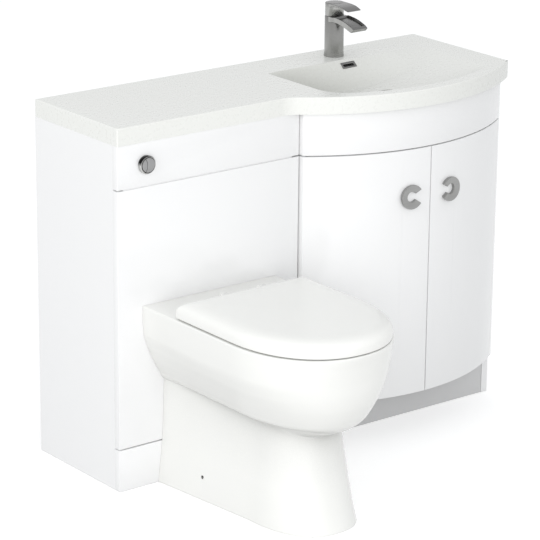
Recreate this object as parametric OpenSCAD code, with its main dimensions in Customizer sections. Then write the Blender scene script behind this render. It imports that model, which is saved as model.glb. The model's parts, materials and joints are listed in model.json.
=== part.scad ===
// Toilet and basin combination unit: a cupboard that hides the cistern and carries a
// floor-standing pan, a bow-fronted two-door basin cupboard, and one worktop with the basin
// moulded into it. Millimetres, +Z up, the wall behind it at +Y. The pieces are drawn from
// the line where the two cupboards meet (x = 0), the wall (y = 0) and the floor (z = 0).

/* [Cupboards] */
// Width of the cistern cupboard
wc_w = 500; // [480:5:560]
// Width of the basin cupboard
basin_w = 600; // [580:5:640]
// Height of both cupboards, floor to underside of worktop
carcass_h = 800; // [790:5:830]
// Depth of the side panels of the cistern cupboard
side_d = 303; // [295:1:320]
// Thickness of the boards
board_t = 18; // [16:1:19]
// Height of the line between plinth and fronts
plinth_h = 100; // [80:5:110]
// Height of the top fascias, without the gap under them
fascia_h = 100; // [90:1:110]
// Gap between neighbouring fronts
front_gap = 3; // [2:0.5:4]
// How far the bowed fronts reach from the wall
bow_front = 432; // [425:1:440]
// Outer radius of the bowed fronts
bow_r = 500; // [490:5:540]
// Height of the shelf in the basin cupboard
shelf_z = 380; // [300:5:450]

/* [Worktop] */
// Height of the worktop's edge
top_h = 40; // [36:1:44]
// Thickness of the worktop's plate
plate_t = 14; // [12:1:16]
// Thickness of the skirt round the worktop
skirt_t = 16; // [14:1:18]
// Overhang of the worktop past the right side panel
right_overhang = 10; // [6:1:16]
// Overhang of the worktop past the bowed fronts
lip_overhang = 13; // [8:1:16]
// Radius of the hollow corner between straight and bowed edge
hollow_r = 70; // [50:5:90]

/* [Basin] */
// Left rim of the bowl, from the line between the cupboards
bowl_x = 66; // [60:1:80]
// Width of the bowl
bowl_w = 471; // [451:5:481]
// Back rim of the bowl, from the wall
bowl_back = 111; // [105:1:120]
// Width of the rim along the bowed edge
bowl_rim = 31; // [28:1:40]
// Depth of the bowl
bowl_depth = 72; // [65:1:80]
// Radius of the bowl's front left corner
bowl_left_r = 85; // [60:5:95]
// Radius of the bowl's front right corner
bowl_right_r = 25; // [20:1:40]
// Thickness of the bowl under its floor
bowl_wall = 12; // [10:1:16]
// Waste hole, from the wall
waste_y = 262; // [255:1:270]

/* [Tap] */
// Tap hole, from the wall
tap_y = 65; // [60:1:70]
// Diameter of the tap body
tap_d = 46; // [42:1:50]
// Height of the tap body
tap_h = 96; // [88:1:115]
// Reach of the spout from the tap's axis
spout_reach = 95; // [85:1:110]
// Reach of the lever from the tap's axis
lever_reach = 77; // [65:1:85]
// Height of the lever's hub
hub_h = 25; // [22:1:30]

/* [Pan] */
// Height of the pan's rim
pan_h = 428; // [415:1:445]
// Widest part of the pan
pan_w = 370; // [350:2:380]
// Reach of the pan from the front of the cupboard
pan_reach = 542; // [520:1:560]
// Width of the pan's foot at the floor
foot_w = 282; // [262:2:302]
// How far the toe of the foot stands back from the rim
toe_back = 73; // [60:1:90]
// Wall of the pan
pan_wall = 16; // [14:1:18]
// Height of the flush inlet's axis
inlet_z = 300; // [290:1:305]
// Height of the soil outlet's axis
outlet_z = 180; // [175:1:190]

/* [Seat and lid] */
// Width of the lid
lid_w = 360; // [340:2:366]
// Lid's back edge, from the front of the cupboard
lid_set = 113; // [106:1:126]
// Top of the lid above the pan's rim
lid_h = 40; // [38:1:44]
// Wall of the lid
lid_wall = 6; // [5:0.5:7]
// Thickness of the seat ring
seat_t = 15; // [12:1:16]

/* [Cistern] */
// Width of the tank
tank_w = 380; // [340:5:400]
// Front to back size of the tank
tank_d = 130; // [120:1:140]
// Height of the tank
tank_h = 300; // [280:5:310]
// Height of the board that carries the tank
tank_z = 400; // [390:1:405]

/* [Flush button] */
// Middle of the button, from the left side of the cupboard
button_x = 75; // [60:1:100]
// Diameter of the button's rim
button_d = 41; // [38:1:46]
// How far the rim stands out
button_out = 11; // [8:1:13]
// Travel of the two buttons
button_travel = 4; // [3:0.5:5]

/* [Handles] */
// Outer diameter of a handle
handle_d = 58; // [50:1:64]
// Inner diameter of a handle
handle_hole = 25; // [22:1:30]
// Thickness of a handle
handle_t = 11; // [9:1:14]
// Handle's middle, from the gap between the doors
handle_off = 58; // [45:1:80]
// Handle's middle below the top of the doors
handle_down = 111; // [90:1:150]

/* [Hidden] */
$fn = 64;
fit = 0.05;                             // radial running clearance of pins
seat_gap = 0.3;                         // gap where one piece rests on another
front_y = side_d + board_t;             // outer face of the flat fronts
top_z = carcass_h + top_h;              // upper face of the worktop
plate_z = top_z - plate_t;
upper_z = carcass_h - fascia_h;         // middle of the line under the fascias
low_z = plinth_h + front_gap / 2;       // underside of doors and access panel
high_z = upper_z - front_gap / 2;       // top of doors and access panel
wc_x = -wc_w / 2;                       // middle of the cistern cupboard
bow_cx = basin_w / 2;
bow_cy = bow_r - bow_front;             // centre of the bowed fronts, behind the wall line
inner_r = bow_r - board_t;
top_right = basin_w + right_overhang;
lip_cx = top_right / 2;                 // middle of the worktop's bowed edge
lip_r = bow_r + lip_overhang;
lip_y = front_y + 1;                    // straight front edge of the worktop
bowl_r = lip_r - bowl_rim;              // front rim of the bowl
bowl_right = bowl_x + bowl_w;
waste_x = bowl_x + bowl_w / 2;
pan_front = front_y + pan_reach;
lid_back = front_y + lid_set;
lid_front = pan_front - 2;
site_x = (wc_w - top_right) / 2;        // puts the middle of the whole unit at x = 0
wall_y = pan_front / 2;                 // and at y = 0

white_gloss = [0.95, 0.95, 0.96];
stone_white = [0.92, 0.93, 0.90];
china_white = [0.95, 0.95, 0.92];
carcass_white = [0.90, 0.90, 0.91];
chrome_grey = [0.72, 0.73, 0.74];
plastic_grey = [0.60, 0.61, 0.62];
plastic_white = [0.88, 0.89, 0.90];
rubber_black = [0.12, 0.12, 0.12];
brass_yellow = [0.78, 0.66, 0.38];

// ---- shared helpers ----

// Pieces are drawn from the wall and the line between the cupboards, then moved so that the
// middle of the whole unit stands over the origin.
module sited() translate([site_x, wall_y, 0]) children();

// A box from its lowest corner.
module block(x, y, z, sx, sy, sz) translate([x, y, z]) cube([sx, sy, sz]);

module post(x, y, z, r, h) translate([x, y, z]) cylinder(r = r, h = h);

// A round bar or bore along Y, from y0 to y1.
module bar_y(x, z, y0, y1, r) translate([x, y0, z]) rotate([-90, 0, 0])
  cylinder(r = r, h = y1 - y0);

// A round bar or bore along X, from x0 to x1.
module bar_x(y, z, x0, x1, r) translate([x0, y, z]) rotate([0, 90, 0])
  cylinder(r = r, h = x1 - x0);

// An outline in the Y-Z plane, drawn from x0 over a width w.
module side_profile(x0, w) translate([x0, 0, 0]) rotate([90, 0, 90])
  linear_extrude(height = w) children();

function arc(cx, cy, r, a0, a1, n) =
  [for (i = [0:n]) let (a = a0 + (a1 - a0) * i / n) [cx + r * cos(a), cy + r * sin(a)]];

// Solid through a stack of rings with as many points each, from the lowest up.
module loft(rings) {
  n = len(rings[0]);
  m = len(rings);
  at = function(k, i) k * n + i % n;
  polyhedron(
    points = [for (r = rings) each r],
    faces = concat(
      [[for (i = [0:n - 1]) i]],
      [for (k = [0:m - 2]) for (i = [0:n - 1]) [at(k, i), at(k + 1, i), at(k + 1, i + 1)]],
      [for (k = [0:m - 2]) for (i = [0:n - 1]) [at(k, i), at(k + 1, i + 1), at(k, i + 1)]],
      [[for (i = [n - 1:-1:0]) (m - 1) * n + i]]),
    convexity = 6);
}

// Plan outline like a D: straight sides from the back to a rounded front. hw is half the
// width, the y values are distances from the wall, p squares up the front and rear_r rounds
// the two corners at the back.
function d_ring(hw, back, straight, front, p, rear_r, z, fore = undef, steps = 36) = let (
  front_hw = is_undef(fore) ? hw : fore) concat(
  [for (i = [0:6]) let (a = 90 + 15 * i)
    [wc_x - hw + rear_r + rear_r * cos(a), -back - rear_r + rear_r * sin(a), z]],
  [for (i = [0:steps]) let (a = 180 + 180 * i / steps, c = cos(a), s = abs(sin(a)))
    [wc_x + front_hw * sign(c) * pow(abs(c), 2 / p), -straight - (front - straight) * pow(s, 2 / p), z]],
  [for (i = [0:6]) let (a = 15 * i)
    [wc_x + hw - rear_r + rear_r * cos(a), -back - rear_r + rear_r * sin(a), z]]);

function flat(ring) = [for (p = ring) [p[0], p[1]]];

// ---- worktop and basin ----

// Outline of the worktop, drawn in by inset: straight over the cistern cupboard, a hollow
// corner, then the bowed edge.
function top_outline(inset) = let (
  r = lip_r - inset,
  hr = hollow_r + inset,
  hy = -lip_y - hollow_r,
  hx = lip_cx - sqrt(pow(lip_r + hollow_r, 2) - pow(bow_cy - hy, 2)),
  meet = atan2(hy - bow_cy, hx - lip_cx),
  end = -acos((top_right - inset - lip_cx) / r))
  concat(
    [[top_right - inset, -inset], [-wc_w + inset, -inset], [-wc_w + inset, -lip_y + inset]],
    arc(hx, hy, hr, 90, meet + 180, 8),
    arc(lip_cx, bow_cy, r, meet, end, 48));

// Front rim of the bowl at x, with a rounded corner at each end.
function corner_cy(edge, r) = bow_cy - sqrt(pow(bowl_r - r, 2) - pow(edge - lip_cx, 2));
function rim_front(x) = let (
  lx = bowl_x + bowl_left_r,
  rx = bowl_right - bowl_right_r,
  l_meet = lip_cx + (lx - lip_cx) * bowl_r / (bowl_r - bowl_left_r),
  r_meet = lip_cx + (rx - lip_cx) * bowl_r / (bowl_r - bowl_right_r))
  x < l_meet ? corner_cy(lx, bowl_left_r) - sqrt(max(0, pow(bowl_left_r, 2) - pow(x - lx, 2)))
  : x > r_meet ? corner_cy(rx, bowl_right_r) - sqrt(max(0, pow(bowl_right_r, 2) - pow(x - rx, 2)))
  : bow_cy - sqrt(pow(bowl_r, 2) - pow(x - lip_cx, 2));

function soft_min(a, b, k) = let (h = max(k - abs(a - b), 0)) min(a, b) - h * h / (4 * k);

// Depth of the bowl: a ramp falls from the right rim, a scoop falls from the back and left
// rims and grows steeper to the left, and the two meet in a valley that runs from the back
// right corner. The front wall is steep.
ramp_share = 0.75;
scoop_turn = 228;
scoop_len = 150;
left_slope = 0.7;
front_slope = 1.6;
rim_lip = 1;
function ramp_depth(x) =
  bowl_depth * (1 - pow(1 - min(1, (bowl_right - x) / (ramp_share * bowl_w)), 1.5));
function scoop_slope(x) = exp((bowl_x + scoop_turn - x) / scoop_len);
function bowl_fall(x, y) = max(rim_lip, soft_min(
  min(ramp_depth(x), soft_min((-bowl_back - y) * scoop_slope(x), (x - bowl_x) * left_slope, 30)),
  (y - rim_front(x)) * front_slope, 10));

waste_z = top_z - ramp_depth(waste_x) - 4;   // flat seat of the waste's flange

// The hollow of the bowl, as a solid to cut away.
module bowl_hollow() {
  nx = 30;
  ny = 18;
  xs = [for (i = [0:nx]) bowl_x + bowl_w * (1 - cos(180 * i / nx)) / 2];
  low = [for (x = xs) for (j = [0:ny]) let (
    t = (1 - cos(180 * j / ny)) / 2,
    y = rim_front(x) - t * (rim_front(x) + bowl_back))
    [x, y, top_z - bowl_fall(x, y)]];
  high = [for (p = low) [p[0], p[1], top_z + 2]];
  n = len(low);
  row = ny + 1;
  edge = concat(
    [for (j = [0:ny - 1]) j], [for (i = [0:nx - 1]) i * row + ny],
    [for (j = [ny:-1:1]) nx * row + j], [for (i = [nx:-1:1]) i * row]);
  polyhedron(
    points = concat(low, high),
    faces = concat(
      [for (i = [0:nx - 1]) for (j = [0:ny - 1]) let (a = i * row + j) [a, a + row, a + row + 1]],
      [for (i = [0:nx - 1]) for (j = [0:ny - 1]) let (a = i * row + j) [a, a + row + 1, a + 1]],
      [for (i = [0:nx - 1]) for (j = [0:ny - 1]) let (a = n + i * row + j) [a, a + row + 1, a + row]],
      [for (i = [0:nx - 1]) for (j = [0:ny - 1]) let (a = n + i * row + j) [a, a + 1, a + row + 1]],
      [for (k = [0:len(edge) - 1]) let (a = edge[k], b = edge[(k + 1) % len(edge)]) [a, b, n + b]],
      [for (k = [0:len(edge) - 1]) let (a = edge[k], b = edge[(k + 1) % len(edge)]) [a, n + b, n + a]]),
    convexity = 6);
}

tap_hole_r = 17.5;
waste_hole_r = 22;
waste_flange_r = 32;
block_low = waste_z - bowl_wall - 9;         // underside of the bowl's body

// Part of the bowl's body under the worktop: from the back of the bowl to the bowed front.
module bowl_body(x0, x1, back, r, z0, z1) intersection() {
  block(x0, -bow_front, z0, x1 - x0, bow_front - back, z1 - z0);
  translate([lip_cx, bow_cy, z0]) cylinder(r = r, h = z1 - z0, $fn = 128);
}

overflow_w = 41;
overflow_h = 17;
overflow_down = 12;                          // middle of the overflow below the worktop
overflow_x = lip_cx - 3;
overflow_slope = atan(scoop_slope(overflow_x));
overflow_y = -bowl_back - overflow_down / scoop_slope(overflow_x);

// The overflow's own frame: local +Z stands out of the sloping back of the bowl.
module at_overflow() translate([overflow_x, overflow_y, top_z - overflow_down])
  rotate([overflow_slope, 0, 0]) children();

module basin_top() color(stone_white) sited() difference() {
  union() {
    translate([0, 0, plate_z]) linear_extrude(height = plate_t) polygon(top_outline(0));
    translate([0, 0, carcass_h]) linear_extrude(height = top_h - plate_t) difference() {
      polygon(top_outline(0));
      polygon(top_outline(skirt_t));
    }
    bowl_body(bowl_x - 10, bowl_right + 10, bowl_back - 16, bowl_r + 9, carcass_h + 1, plate_z + 1);
    bowl_body(bowl_x + 8, bowl_right - 60, bowl_back - 16, inner_r - 14, block_low, carcass_h + 2);
  }
  bowl_hollow();
  post(lip_cx, -tap_y, carcass_h, tap_hole_r, top_h + 1);
  post(waste_x, -waste_y, block_low - 1, waste_hole_r, top_z - block_low);
  post(waste_x, -waste_y, waste_z, waste_flange_r + 2, bowl_depth);
  at_overflow() block(-overflow_w / 2 + 3, -overflow_h / 2 + 3, -9,
    overflow_w - 6, overflow_h - 6, 12);
  at_overflow() block(-overflow_w / 2 - 0.4, -overflow_h / 2 - 0.4, 0,
    overflow_w + 0.8, overflow_h + 0.8, 12);
}

module overflow_trim() color(chrome_grey) sited() at_overflow() difference() {
  union() {
    block(-overflow_w / 2, -overflow_h / 2, 0.2, overflow_w, overflow_h, 1.8);
    block(-overflow_w / 2 + 3.5, -overflow_h / 2 + 3.5, -7, overflow_w - 7, overflow_h - 7, 7.5);
  }
  block(-overflow_w / 2 + 5, -overflow_h / 2 + 5, -5, overflow_w - 10, overflow_h - 10, 10);
}

waste_tube_r = 20;
waste_low = block_low - 65;                  // end of the waste's tube
stem_r = 4;
module waste_body() color(chrome_grey) sited() {
  difference() {
    union() {
      post(waste_x, -waste_y, waste_z, waste_flange_r, 3);
      post(waste_x, -waste_y, waste_low, waste_tube_r, waste_z - waste_low + 1);
    }
    post(waste_x, -waste_y, waste_low - 1, waste_tube_r - 3, waste_z - waste_low + 10);
  }
  // bar across the tube that guides the plug's stem
  difference() {
    block(waste_x - waste_tube_r + 2, -waste_y - 6, block_low - 20, 2 * waste_tube_r - 4, 12, 12);
    post(waste_x, -waste_y, block_low - 21, stem_r + fit, 14);
  }
}

module waste_plug() color(chrome_grey) sited() translate([waste_x, -waste_y, 0]) {
  translate([0, 0, waste_z + 3 + seat_gap]) rotate_extrude()
    polygon(concat([[0, 0], [waste_flange_r - 4, 0], [waste_flange_r - 4, 2]],
      [for (i = [1:6]) let (t = i / 6) [(waste_flange_r - 4) * (1 - t), 2 + 3 * (1 - pow(1 - t, 2))]]));
  translate([0, 0, block_low - 24]) cylinder(r = stem_r, h = waste_z + 4 + seat_gap - block_low + 24);
}

module waste_backnut() color(rubber_black) sited() difference() {
  union() {
    post(waste_x, -waste_y, block_low - 4, 30, 4);
    post(waste_x, -waste_y, block_low - 14, 28, 10);
  }
  post(waste_x, -waste_y, block_low - 15, waste_tube_r + fit, 16);
}

trap_r = 32;
trap_low = waste_low - 135;
trap_out_z = waste_low - 70;
socket_y = trap_r + 22;                      // end of the trap's outlet, behind the waste hole
pipe_r = 16;
module bottle_trap() color(plastic_white) sited() difference() {
  union() {
    post(waste_x, -waste_y, waste_low - 10, 26, 24);
    post(waste_x, -waste_y, waste_low - 50, 17, 42);
    post(waste_x, -waste_y, trap_low, trap_r, waste_low - 45 - trap_low);
    post(waste_x, -waste_y, trap_low - 6, trap_r + 3, 24);
    bar_y(waste_x, trap_out_z, -waste_y, -waste_y + socket_y, pipe_r + 5);
  }
  post(waste_x, -waste_y, waste_low - 0.2, waste_tube_r + fit, 20);
  post(waste_x, -waste_y, trap_low - 1, 14, waste_low - trap_low + 2);
  post(waste_x, -waste_y, trap_low, trap_r - 3, waste_low - 48 - trap_low);
  bar_y(waste_x, trap_out_z, -waste_y, -waste_y + trap_r + 4, pipe_r - 2);
  bar_y(waste_x, trap_out_z, -waste_y + trap_r + 3, -waste_y + socket_y + 1, pipe_r - 0.5 + fit);
}

module trap_outlet_pipe() color(plastic_white) sited() difference() {
  union() {
    bar_y(waste_x, trap_out_z, -waste_y + trap_r + 4, -waste_y + socket_y + 1, pipe_r - 0.5);
    bar_y(waste_x, trap_out_z, -waste_y + socket_y + 0.2, 0, pipe_r);
  }
  bar_y(waste_x, trap_out_z, -waste_y + trap_r, 1, pipe_r - 2);
}

// ---- tap ----

tap_r = tap_d / 2;
tap_top = top_z + tap_h;
spout_w = tap_d - 2;
spout_drop = 16;
spout_t = 15;
tip_rim = 9;                                 // solid part at the spout's tip
cart_r = 15;

// Distances d along the tap are measured forward from its axis.
function spout_top(d) = tap_top + 1 - spout_drop * pow(d / spout_reach, 2);
function spout_edge(drop, d0, d1, n) =
  [for (i = [0:n]) let (d = d0 + (d1 - d0) * i / n) [-tap_y - d, spout_top(d) - drop * (1 - 0.25 * d / spout_reach)]];

module tap_body() color(chrome_grey) sited() difference() {
  union() {
    translate([lip_cx, -tap_y, top_z]) rotate_extrude($fn = 96)
      polygon([[0, 0], [tap_r + 1, 0], [tap_r + 1, 2], [tap_r, 14], [tap_r, tap_h - 1], [0, tap_h - 1]]);
    side_profile(lip_cx - spout_w / 2, spout_w) polygon(concat(
      spout_edge(0, 0, spout_reach, 12), spout_edge(spout_t, spout_reach - 4, 0, 12)));
  }
  // trough along the spout, and the bore for the cartridge
  side_profile(lip_cx - spout_w / 2 + 4, spout_w - 8) polygon(concat(
    spout_edge(-2, tap_r + 4, spout_reach - tip_rim, 8), spout_edge(5, spout_reach - tip_rim, tap_r + 4, 8)));
  post(lip_cx, -tap_y, tap_top - 50, cart_r + 0.1, 60);
  post(lip_cx, -tap_y, top_z - 1, cart_r, 40);
}

module tap_cartridge() color(plastic_grey) sited() difference() {
  union() {
    post(lip_cx, -tap_y, tap_top - 50, cart_r, 46);
    post(lip_cx, -tap_y, tap_top - 5, cart_r - 5, 8);
  }
  post(lip_cx, -tap_y, tap_top - 20, stem_r + fit, 40);
}

tilt_y = tap_y - 11;                         // axis that the lever tilts about, from the wall
tilt_z = tap_top + 9;
tilt_pin_r = 2.5;
module tap_stem() color(chrome_grey) sited() difference() {
  union() {
    post(lip_cx, -tap_y, tap_top - 20, stem_r, 26);
    post(lip_cx, -tap_y, tap_top + 3.4, 8, 3);
    block(lip_cx - 3, -tap_y - 6, tap_top + 4, 6, 17, 7.5);
    bar_x(-tilt_y, tilt_z, lip_cx - 3, lip_cx + 3, 4.2);
  }
  bar_x(-tilt_y, tilt_z, lip_cx - 4, lip_cx + 4, tilt_pin_r + fit);
}

lever_peak = 22;
lever_rise = hub_h + 13;
function lever_top(d) = tap_top + lever_rise - 0.0055 * pow(d - lever_peak, 2);
function lever_line(d0, d1, drop0, drop1, n) = [for (i = [0:n]) let (t = i / n, d = d0 + (d1 - d0) * t)
  [-tap_y - d, lever_top(d) - drop0 - (drop1 - drop0) * t]];
module tap_lever() color(chrome_grey) sited() {
  difference() {
    union() {
      intersection() {
        post(lip_cx, -tap_y, tap_top + 1.2, tap_r - 0.5, 60);
        side_profile(lip_cx - tap_r, 2 * tap_r) polygon(concat(
          [[-tap_y + 8, tap_top + 1.2], [-tap_y + tap_r, tap_top + 10]],
          lever_line(-tap_r, tap_r, 0, 0, 10), [[-tap_y - tap_r, tap_top + 1.2]]));
      }
      side_profile(lip_cx - spout_w / 2, spout_w) polygon(concat(
        lever_line(0, lever_reach, 0, 0, 10), lever_line(lever_reach, 0, 2, 14, 10)));
    }
    // hollow over the stem
    post(lip_cx, -tap_y, tap_top, 16.5, 19);
  }
  // pin through the stem, carried by two cheeks
  bar_x(-tilt_y, tilt_z, lip_cx - 10, lip_cx + 10, tilt_pin_r);
  for (s = [-1, 1]) difference() {
    block(lip_cx + s * 7 - 3, -tap_y + 4, tap_top + 6.5, 6, 10, 14);
    bar_x(-tilt_y, tilt_z, lip_cx - 10.5, lip_cx + 10.5, tilt_pin_r - 0.5);
  }
}

hose_r = 4.8;
hose_dx = 7;
hose_y = tap_y - 5;
hose_spread = 30;                            // half the distance between the hoses' lower ends
stud_y = tap_y + 8;
module tap_fixing() color(brass_yellow) sited() {
  post(lip_cx, -stud_y, plate_z - 26, 4, 26 + plate_t + 8);
  difference() {
    union() {
      post(lip_cx, -tap_y, plate_z - 4, 24, 4);
      post(lip_cx, -stud_y, plate_z - 12, 8, 9);
    }
    for (s = [-1, 1]) post(lip_cx + s * hose_dx, -hose_y, plate_z - 14, hose_r + 0.4, 20);
  }
}

hose_len = [270, 315];
hose_knee = [plate_z - 40, plate_z - 126];   // where the hoses part and where they hang straight
module hose_slant(x0, x1, z0, z1) translate([x1, -hose_y, z1])
  rotate([0, atan2(x0 - x1, z0 - z1), 0]) cylinder(r = hose_r, h = norm([x0 - x1, z0 - z1]));
module tap_hoses() color(plastic_grey) sited() for (k = [0, 1]) {
  s = 2 * k - 1;
  x0 = lip_cx + s * hose_dx;
  x1 = lip_cx + s * hose_spread;
  low = top_z - hose_len[k];
  post(x0, -hose_y, hose_knee[0], hose_r, top_z + 18 - hose_knee[0]);
  translate([x0, -hose_y, hose_knee[0]]) sphere(r = hose_r + 0.8);
  hose_slant(x0, x1, hose_knee[0], hose_knee[1]);
  translate([x1, -hose_y, hose_knee[1]]) sphere(r = hose_r + 0.8);
  post(x1, -hose_y, low + 18, hose_r, hose_knee[1] - low - 18);
  difference() {
    union() {
      post(x1, -hose_y, low, 12, 14);
      post(x1, -hose_y, low + 13, 7.5, 14);
    }
    post(x1, -hose_y, low - 1, 9.3, 11);
  }
}

// ---- cistern cupboard ----

module wc_left_side() color(white_gloss) sited()
  block(-wc_w, -side_d, 0, board_t, side_d, carcass_h);

module wc_right_side() color(carcass_white) sited()
  block(-board_t, -side_d, 0, board_t, side_d, carcass_h);

wc_in_x = -wc_w + board_t;
wc_in_w = wc_w - 2 * board_t;
rail_h = 80;
rail_hole_r = 2.5;
rail_low = carcass_h - board_t - rail_h;     // underside of the back rails

module wc_top_rail() color(carcass_white) sited()
  block(wc_in_x, -side_d, carcass_h - board_t, wc_in_w, rail_h, board_t);

module wc_back_rail() color(carcass_white) sited() difference() {
  block(wc_in_x, -board_t, rail_low, wc_in_w, board_t, rail_h);
  for (s = [-1, 1]) bar_y(wc_x + s * wc_w / 4, rail_low + rail_h / 2, -board_t - 1, 1, rail_hole_r);
}

tank_y = 22 + tank_d / 2;                    // middle of the tank, from the wall
fill_x = wc_x - tank_w / 2 + 50;
tail_r = 25;
fill_tail_r = 12;
inlet_r = 10.4;
inlet_len = 20;
module wc_cistern_board() color(carcass_white) sited() difference() {
  block(wc_in_x, -tank_y - tank_d / 2 - 10, tank_z - board_t, wc_in_w, tank_y + tank_d / 2 + 10, board_t);
  post(wc_x, -tank_y, tank_z - board_t - 1, tail_r + 5, board_t + 2);
  post(fill_x, -tank_y, tank_z - board_t - 1, fill_tail_r + 5, board_t + 2);
}

batten = 18;
module wc_battens() color(carcass_white) sited() for (x = [wc_in_x, -board_t - batten])
  block(x, -side_d, plinth_h - 40, batten, batten, upper_z - plinth_h + 80);

button_cx = -wc_w + button_x;
button_z = (upper_z + carcass_h) / 2;
housing_r = button_d / 2 - 2;
module wc_upper_fascia() color(white_gloss) sited() difference() {
  block(-wc_w, -front_y, upper_z + front_gap / 2, wc_w - 1, board_t, fascia_h - front_gap / 2);
  bar_y(button_cx, button_z, -front_y - 1, -side_d + 1, housing_r + 0.5);
}

inlet_hole_r = 34;
outlet_hole_r = 66;
module wc_access_panel() color(white_gloss) sited() difference() {
  block(-wc_w, -front_y, low_z, wc_w - 1, board_t, high_z - low_z);
  bar_y(wc_x, inlet_z, -front_y - 1, -side_d + 1, inlet_hole_r);
  bar_y(wc_x, outlet_z, -front_y - 1, -side_d + 1, outlet_hole_r);
}

module wc_plinth() color(white_gloss) sited()
  block(-wc_w, -front_y, 0, wc_w - 1, board_t, plinth_h - front_gap / 2);

// ---- cistern ----

tank_wall = 4;
tank_top = tank_z + tank_h;
module cistern_tank() color(plastic_white) sited() difference() {
  block(wc_x - tank_w / 2, -tank_y - tank_d / 2, tank_z, tank_w, tank_d, tank_h);
  block(wc_x - tank_w / 2 + tank_wall, -tank_y - tank_d / 2 + tank_wall, tank_z + tank_wall,
    tank_w - 2 * tank_wall, tank_d - 2 * tank_wall, tank_h);
  post(wc_x, -tank_y, tank_z - 1, tail_r + fit, 10);
  post(fill_x, -tank_y, tank_z - 1, fill_tail_r + fit, 10);
}

lid_hose_r = 22;
module cistern_lid() color(plastic_white) sited() difference() {
  union() {
    block(wc_x - tank_w / 2 - 3, -tank_y - tank_d / 2 - 3, tank_top, tank_w + 6, tank_d + 6, 4);
    block(wc_x - tank_w / 2 + tank_wall + 0.5, -tank_y - tank_d / 2 + tank_wall + 0.5, tank_top - 6,
      tank_w - 2 * tank_wall - 1, tank_d - 2 * tank_wall - 1, 7);
  }
  post(wc_x, -tank_y, tank_top - 7, lid_hose_r, 20);
}

tower_r = 38;
tower_h = tank_h - 70;
canister_r = 29;
canister_lift = 12;
module flush_valve_tower() color(plastic_grey) sited() translate([wc_x, -tank_y, 0]) difference() {
  union() {
    translate([0, 0, tank_z - 38]) cylinder(r = tail_r, h = 45);
    translate([0, 0, tank_z + tank_wall]) cylinder(r = tower_r, h = tower_h);
    for (s = [-1, 1]) translate([s * 8, 0, tank_z + tank_wall + tower_h]) cylinder(r = 2.6, h = 12);
  }
  translate([0, 0, tank_z - 39]) cylinder(r = flush_r + fit, h = 60);
  translate([0, 0, tank_z + tank_wall + 4]) cylinder(r = tower_r - 3, h = tower_h - 8);
  // windows that let the water in
  for (a = [0, 90]) rotate([0, 0, a])
    block(-tower_r - 1, -14, tank_z + tank_wall + 12, 2 * tower_r + 2, 28, 60);
}

module valve_canister() color(plastic_white) sited() translate([wc_x, -tank_y, 0]) difference() {
  union() {
    translate([0, 0, tank_z + tank_wall + 4 + seat_gap]) cylinder(r = canister_r, h = 4);
    translate([0, 0, tank_z + tank_wall + 7]) cylinder(r = canister_r - 9, h = tower_h - 30);
  }
  translate([0, 0, tank_z + tank_wall]) cylinder(r = canister_r - 12, h = tower_h);
}

module cistern_nut() color(plastic_white) sited() difference() {
  post(wc_x, -tank_y, tank_z - board_t - 14, tail_r + 12, 14);
  post(wc_x, -tank_y, tank_z - board_t - 15, tail_r + fit, 16);
}

column_r = 9;
float_r = 24;
float_h = 45;
float_rise = 90;
float_z = tank_z + tank_wall + 60;           // underside of the float in an empty tank
module fill_valve() color(plastic_white) sited() difference() {
  union() {
    post(fill_x, -tank_y, tank_z - 36, inlet_r, inlet_len);
    post(fill_x, -tank_y, tank_z - 36 + inlet_len, fill_tail_r, 45 - inlet_len);
    post(fill_x, -tank_y, tank_z + tank_wall, 16, 8);
    post(fill_x, -tank_y, tank_z + tank_wall, column_r, tank_h - 40);
    post(fill_x, -tank_y, tank_z + tank_wall, 13, float_z - tank_z - tank_wall - seat_gap);
    post(fill_x, -tank_y, tank_z + tank_h - 50, 18, 22);
  }
  post(fill_x, -tank_y, tank_z - 37, 6, 60);
}

module float_cup() color(plastic_grey) sited() difference() {
  post(fill_x, -tank_y, float_z, float_r, float_h);
  post(fill_x, -tank_y, float_z - 1, column_r + fit, float_h + 2);
}

housing_deep = 45;
module flush_button_housing() color(chrome_grey) sited() translate([button_cx, -front_y, button_z])
  rotate([90, 0, 0]) difference() {
    union() {
      translate([0, 0, 0.2]) cylinder(r = button_d / 2, h = button_out - 0.2);
      translate([0, 0, -housing_deep]) cylinder(r = housing_r, h = housing_deep + 1);
      translate([0, 0, -board_t - 8]) cylinder(r = housing_r + 6, h = 7.8);
      for (s = [-1, 1]) translate([0, s * 6, -housing_deep - 11]) cylinder(r = 2.6, h = 12);
    }
    translate([0, 0, -housing_deep + 4]) cylinder(r = button_d / 2 - 6, h = housing_deep + button_out);
    translate([0, 0, -board_t + 12]) cylinder(r = button_d / 2 - 3.5, h = board_t + button_out);
  }

// The two buttons share a disc, cut along a shallow S-like curve.
button_r = button_d / 2 - 4;
split_r = 26;
module button_disc() cylinder(r = button_r, h = 12);
module flush_button(side) translate([button_cx, -front_y - button_out - 1.5, button_z])
  rotate([-90, 0, 0]) {
    if (side > 0) difference() {
      button_disc();
      translate([-split_r - 3, 0, -1]) cylinder(r = split_r + 0.6, h = 14);
    }
    else intersection() {
      button_disc();
      translate([-split_r - 3, 0, 0]) cylinder(r = split_r - 0.1, h = 12);
    }
    translate([side * (side > 0 ? 6.5 : 9), 0, 11.5]) cylinder(r = 3.5, h = 16);
  }
module full_flush_button() color(chrome_grey) sited() flush_button(-1);
module half_flush_button() color(chrome_grey) sited() flush_button(1);

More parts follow.
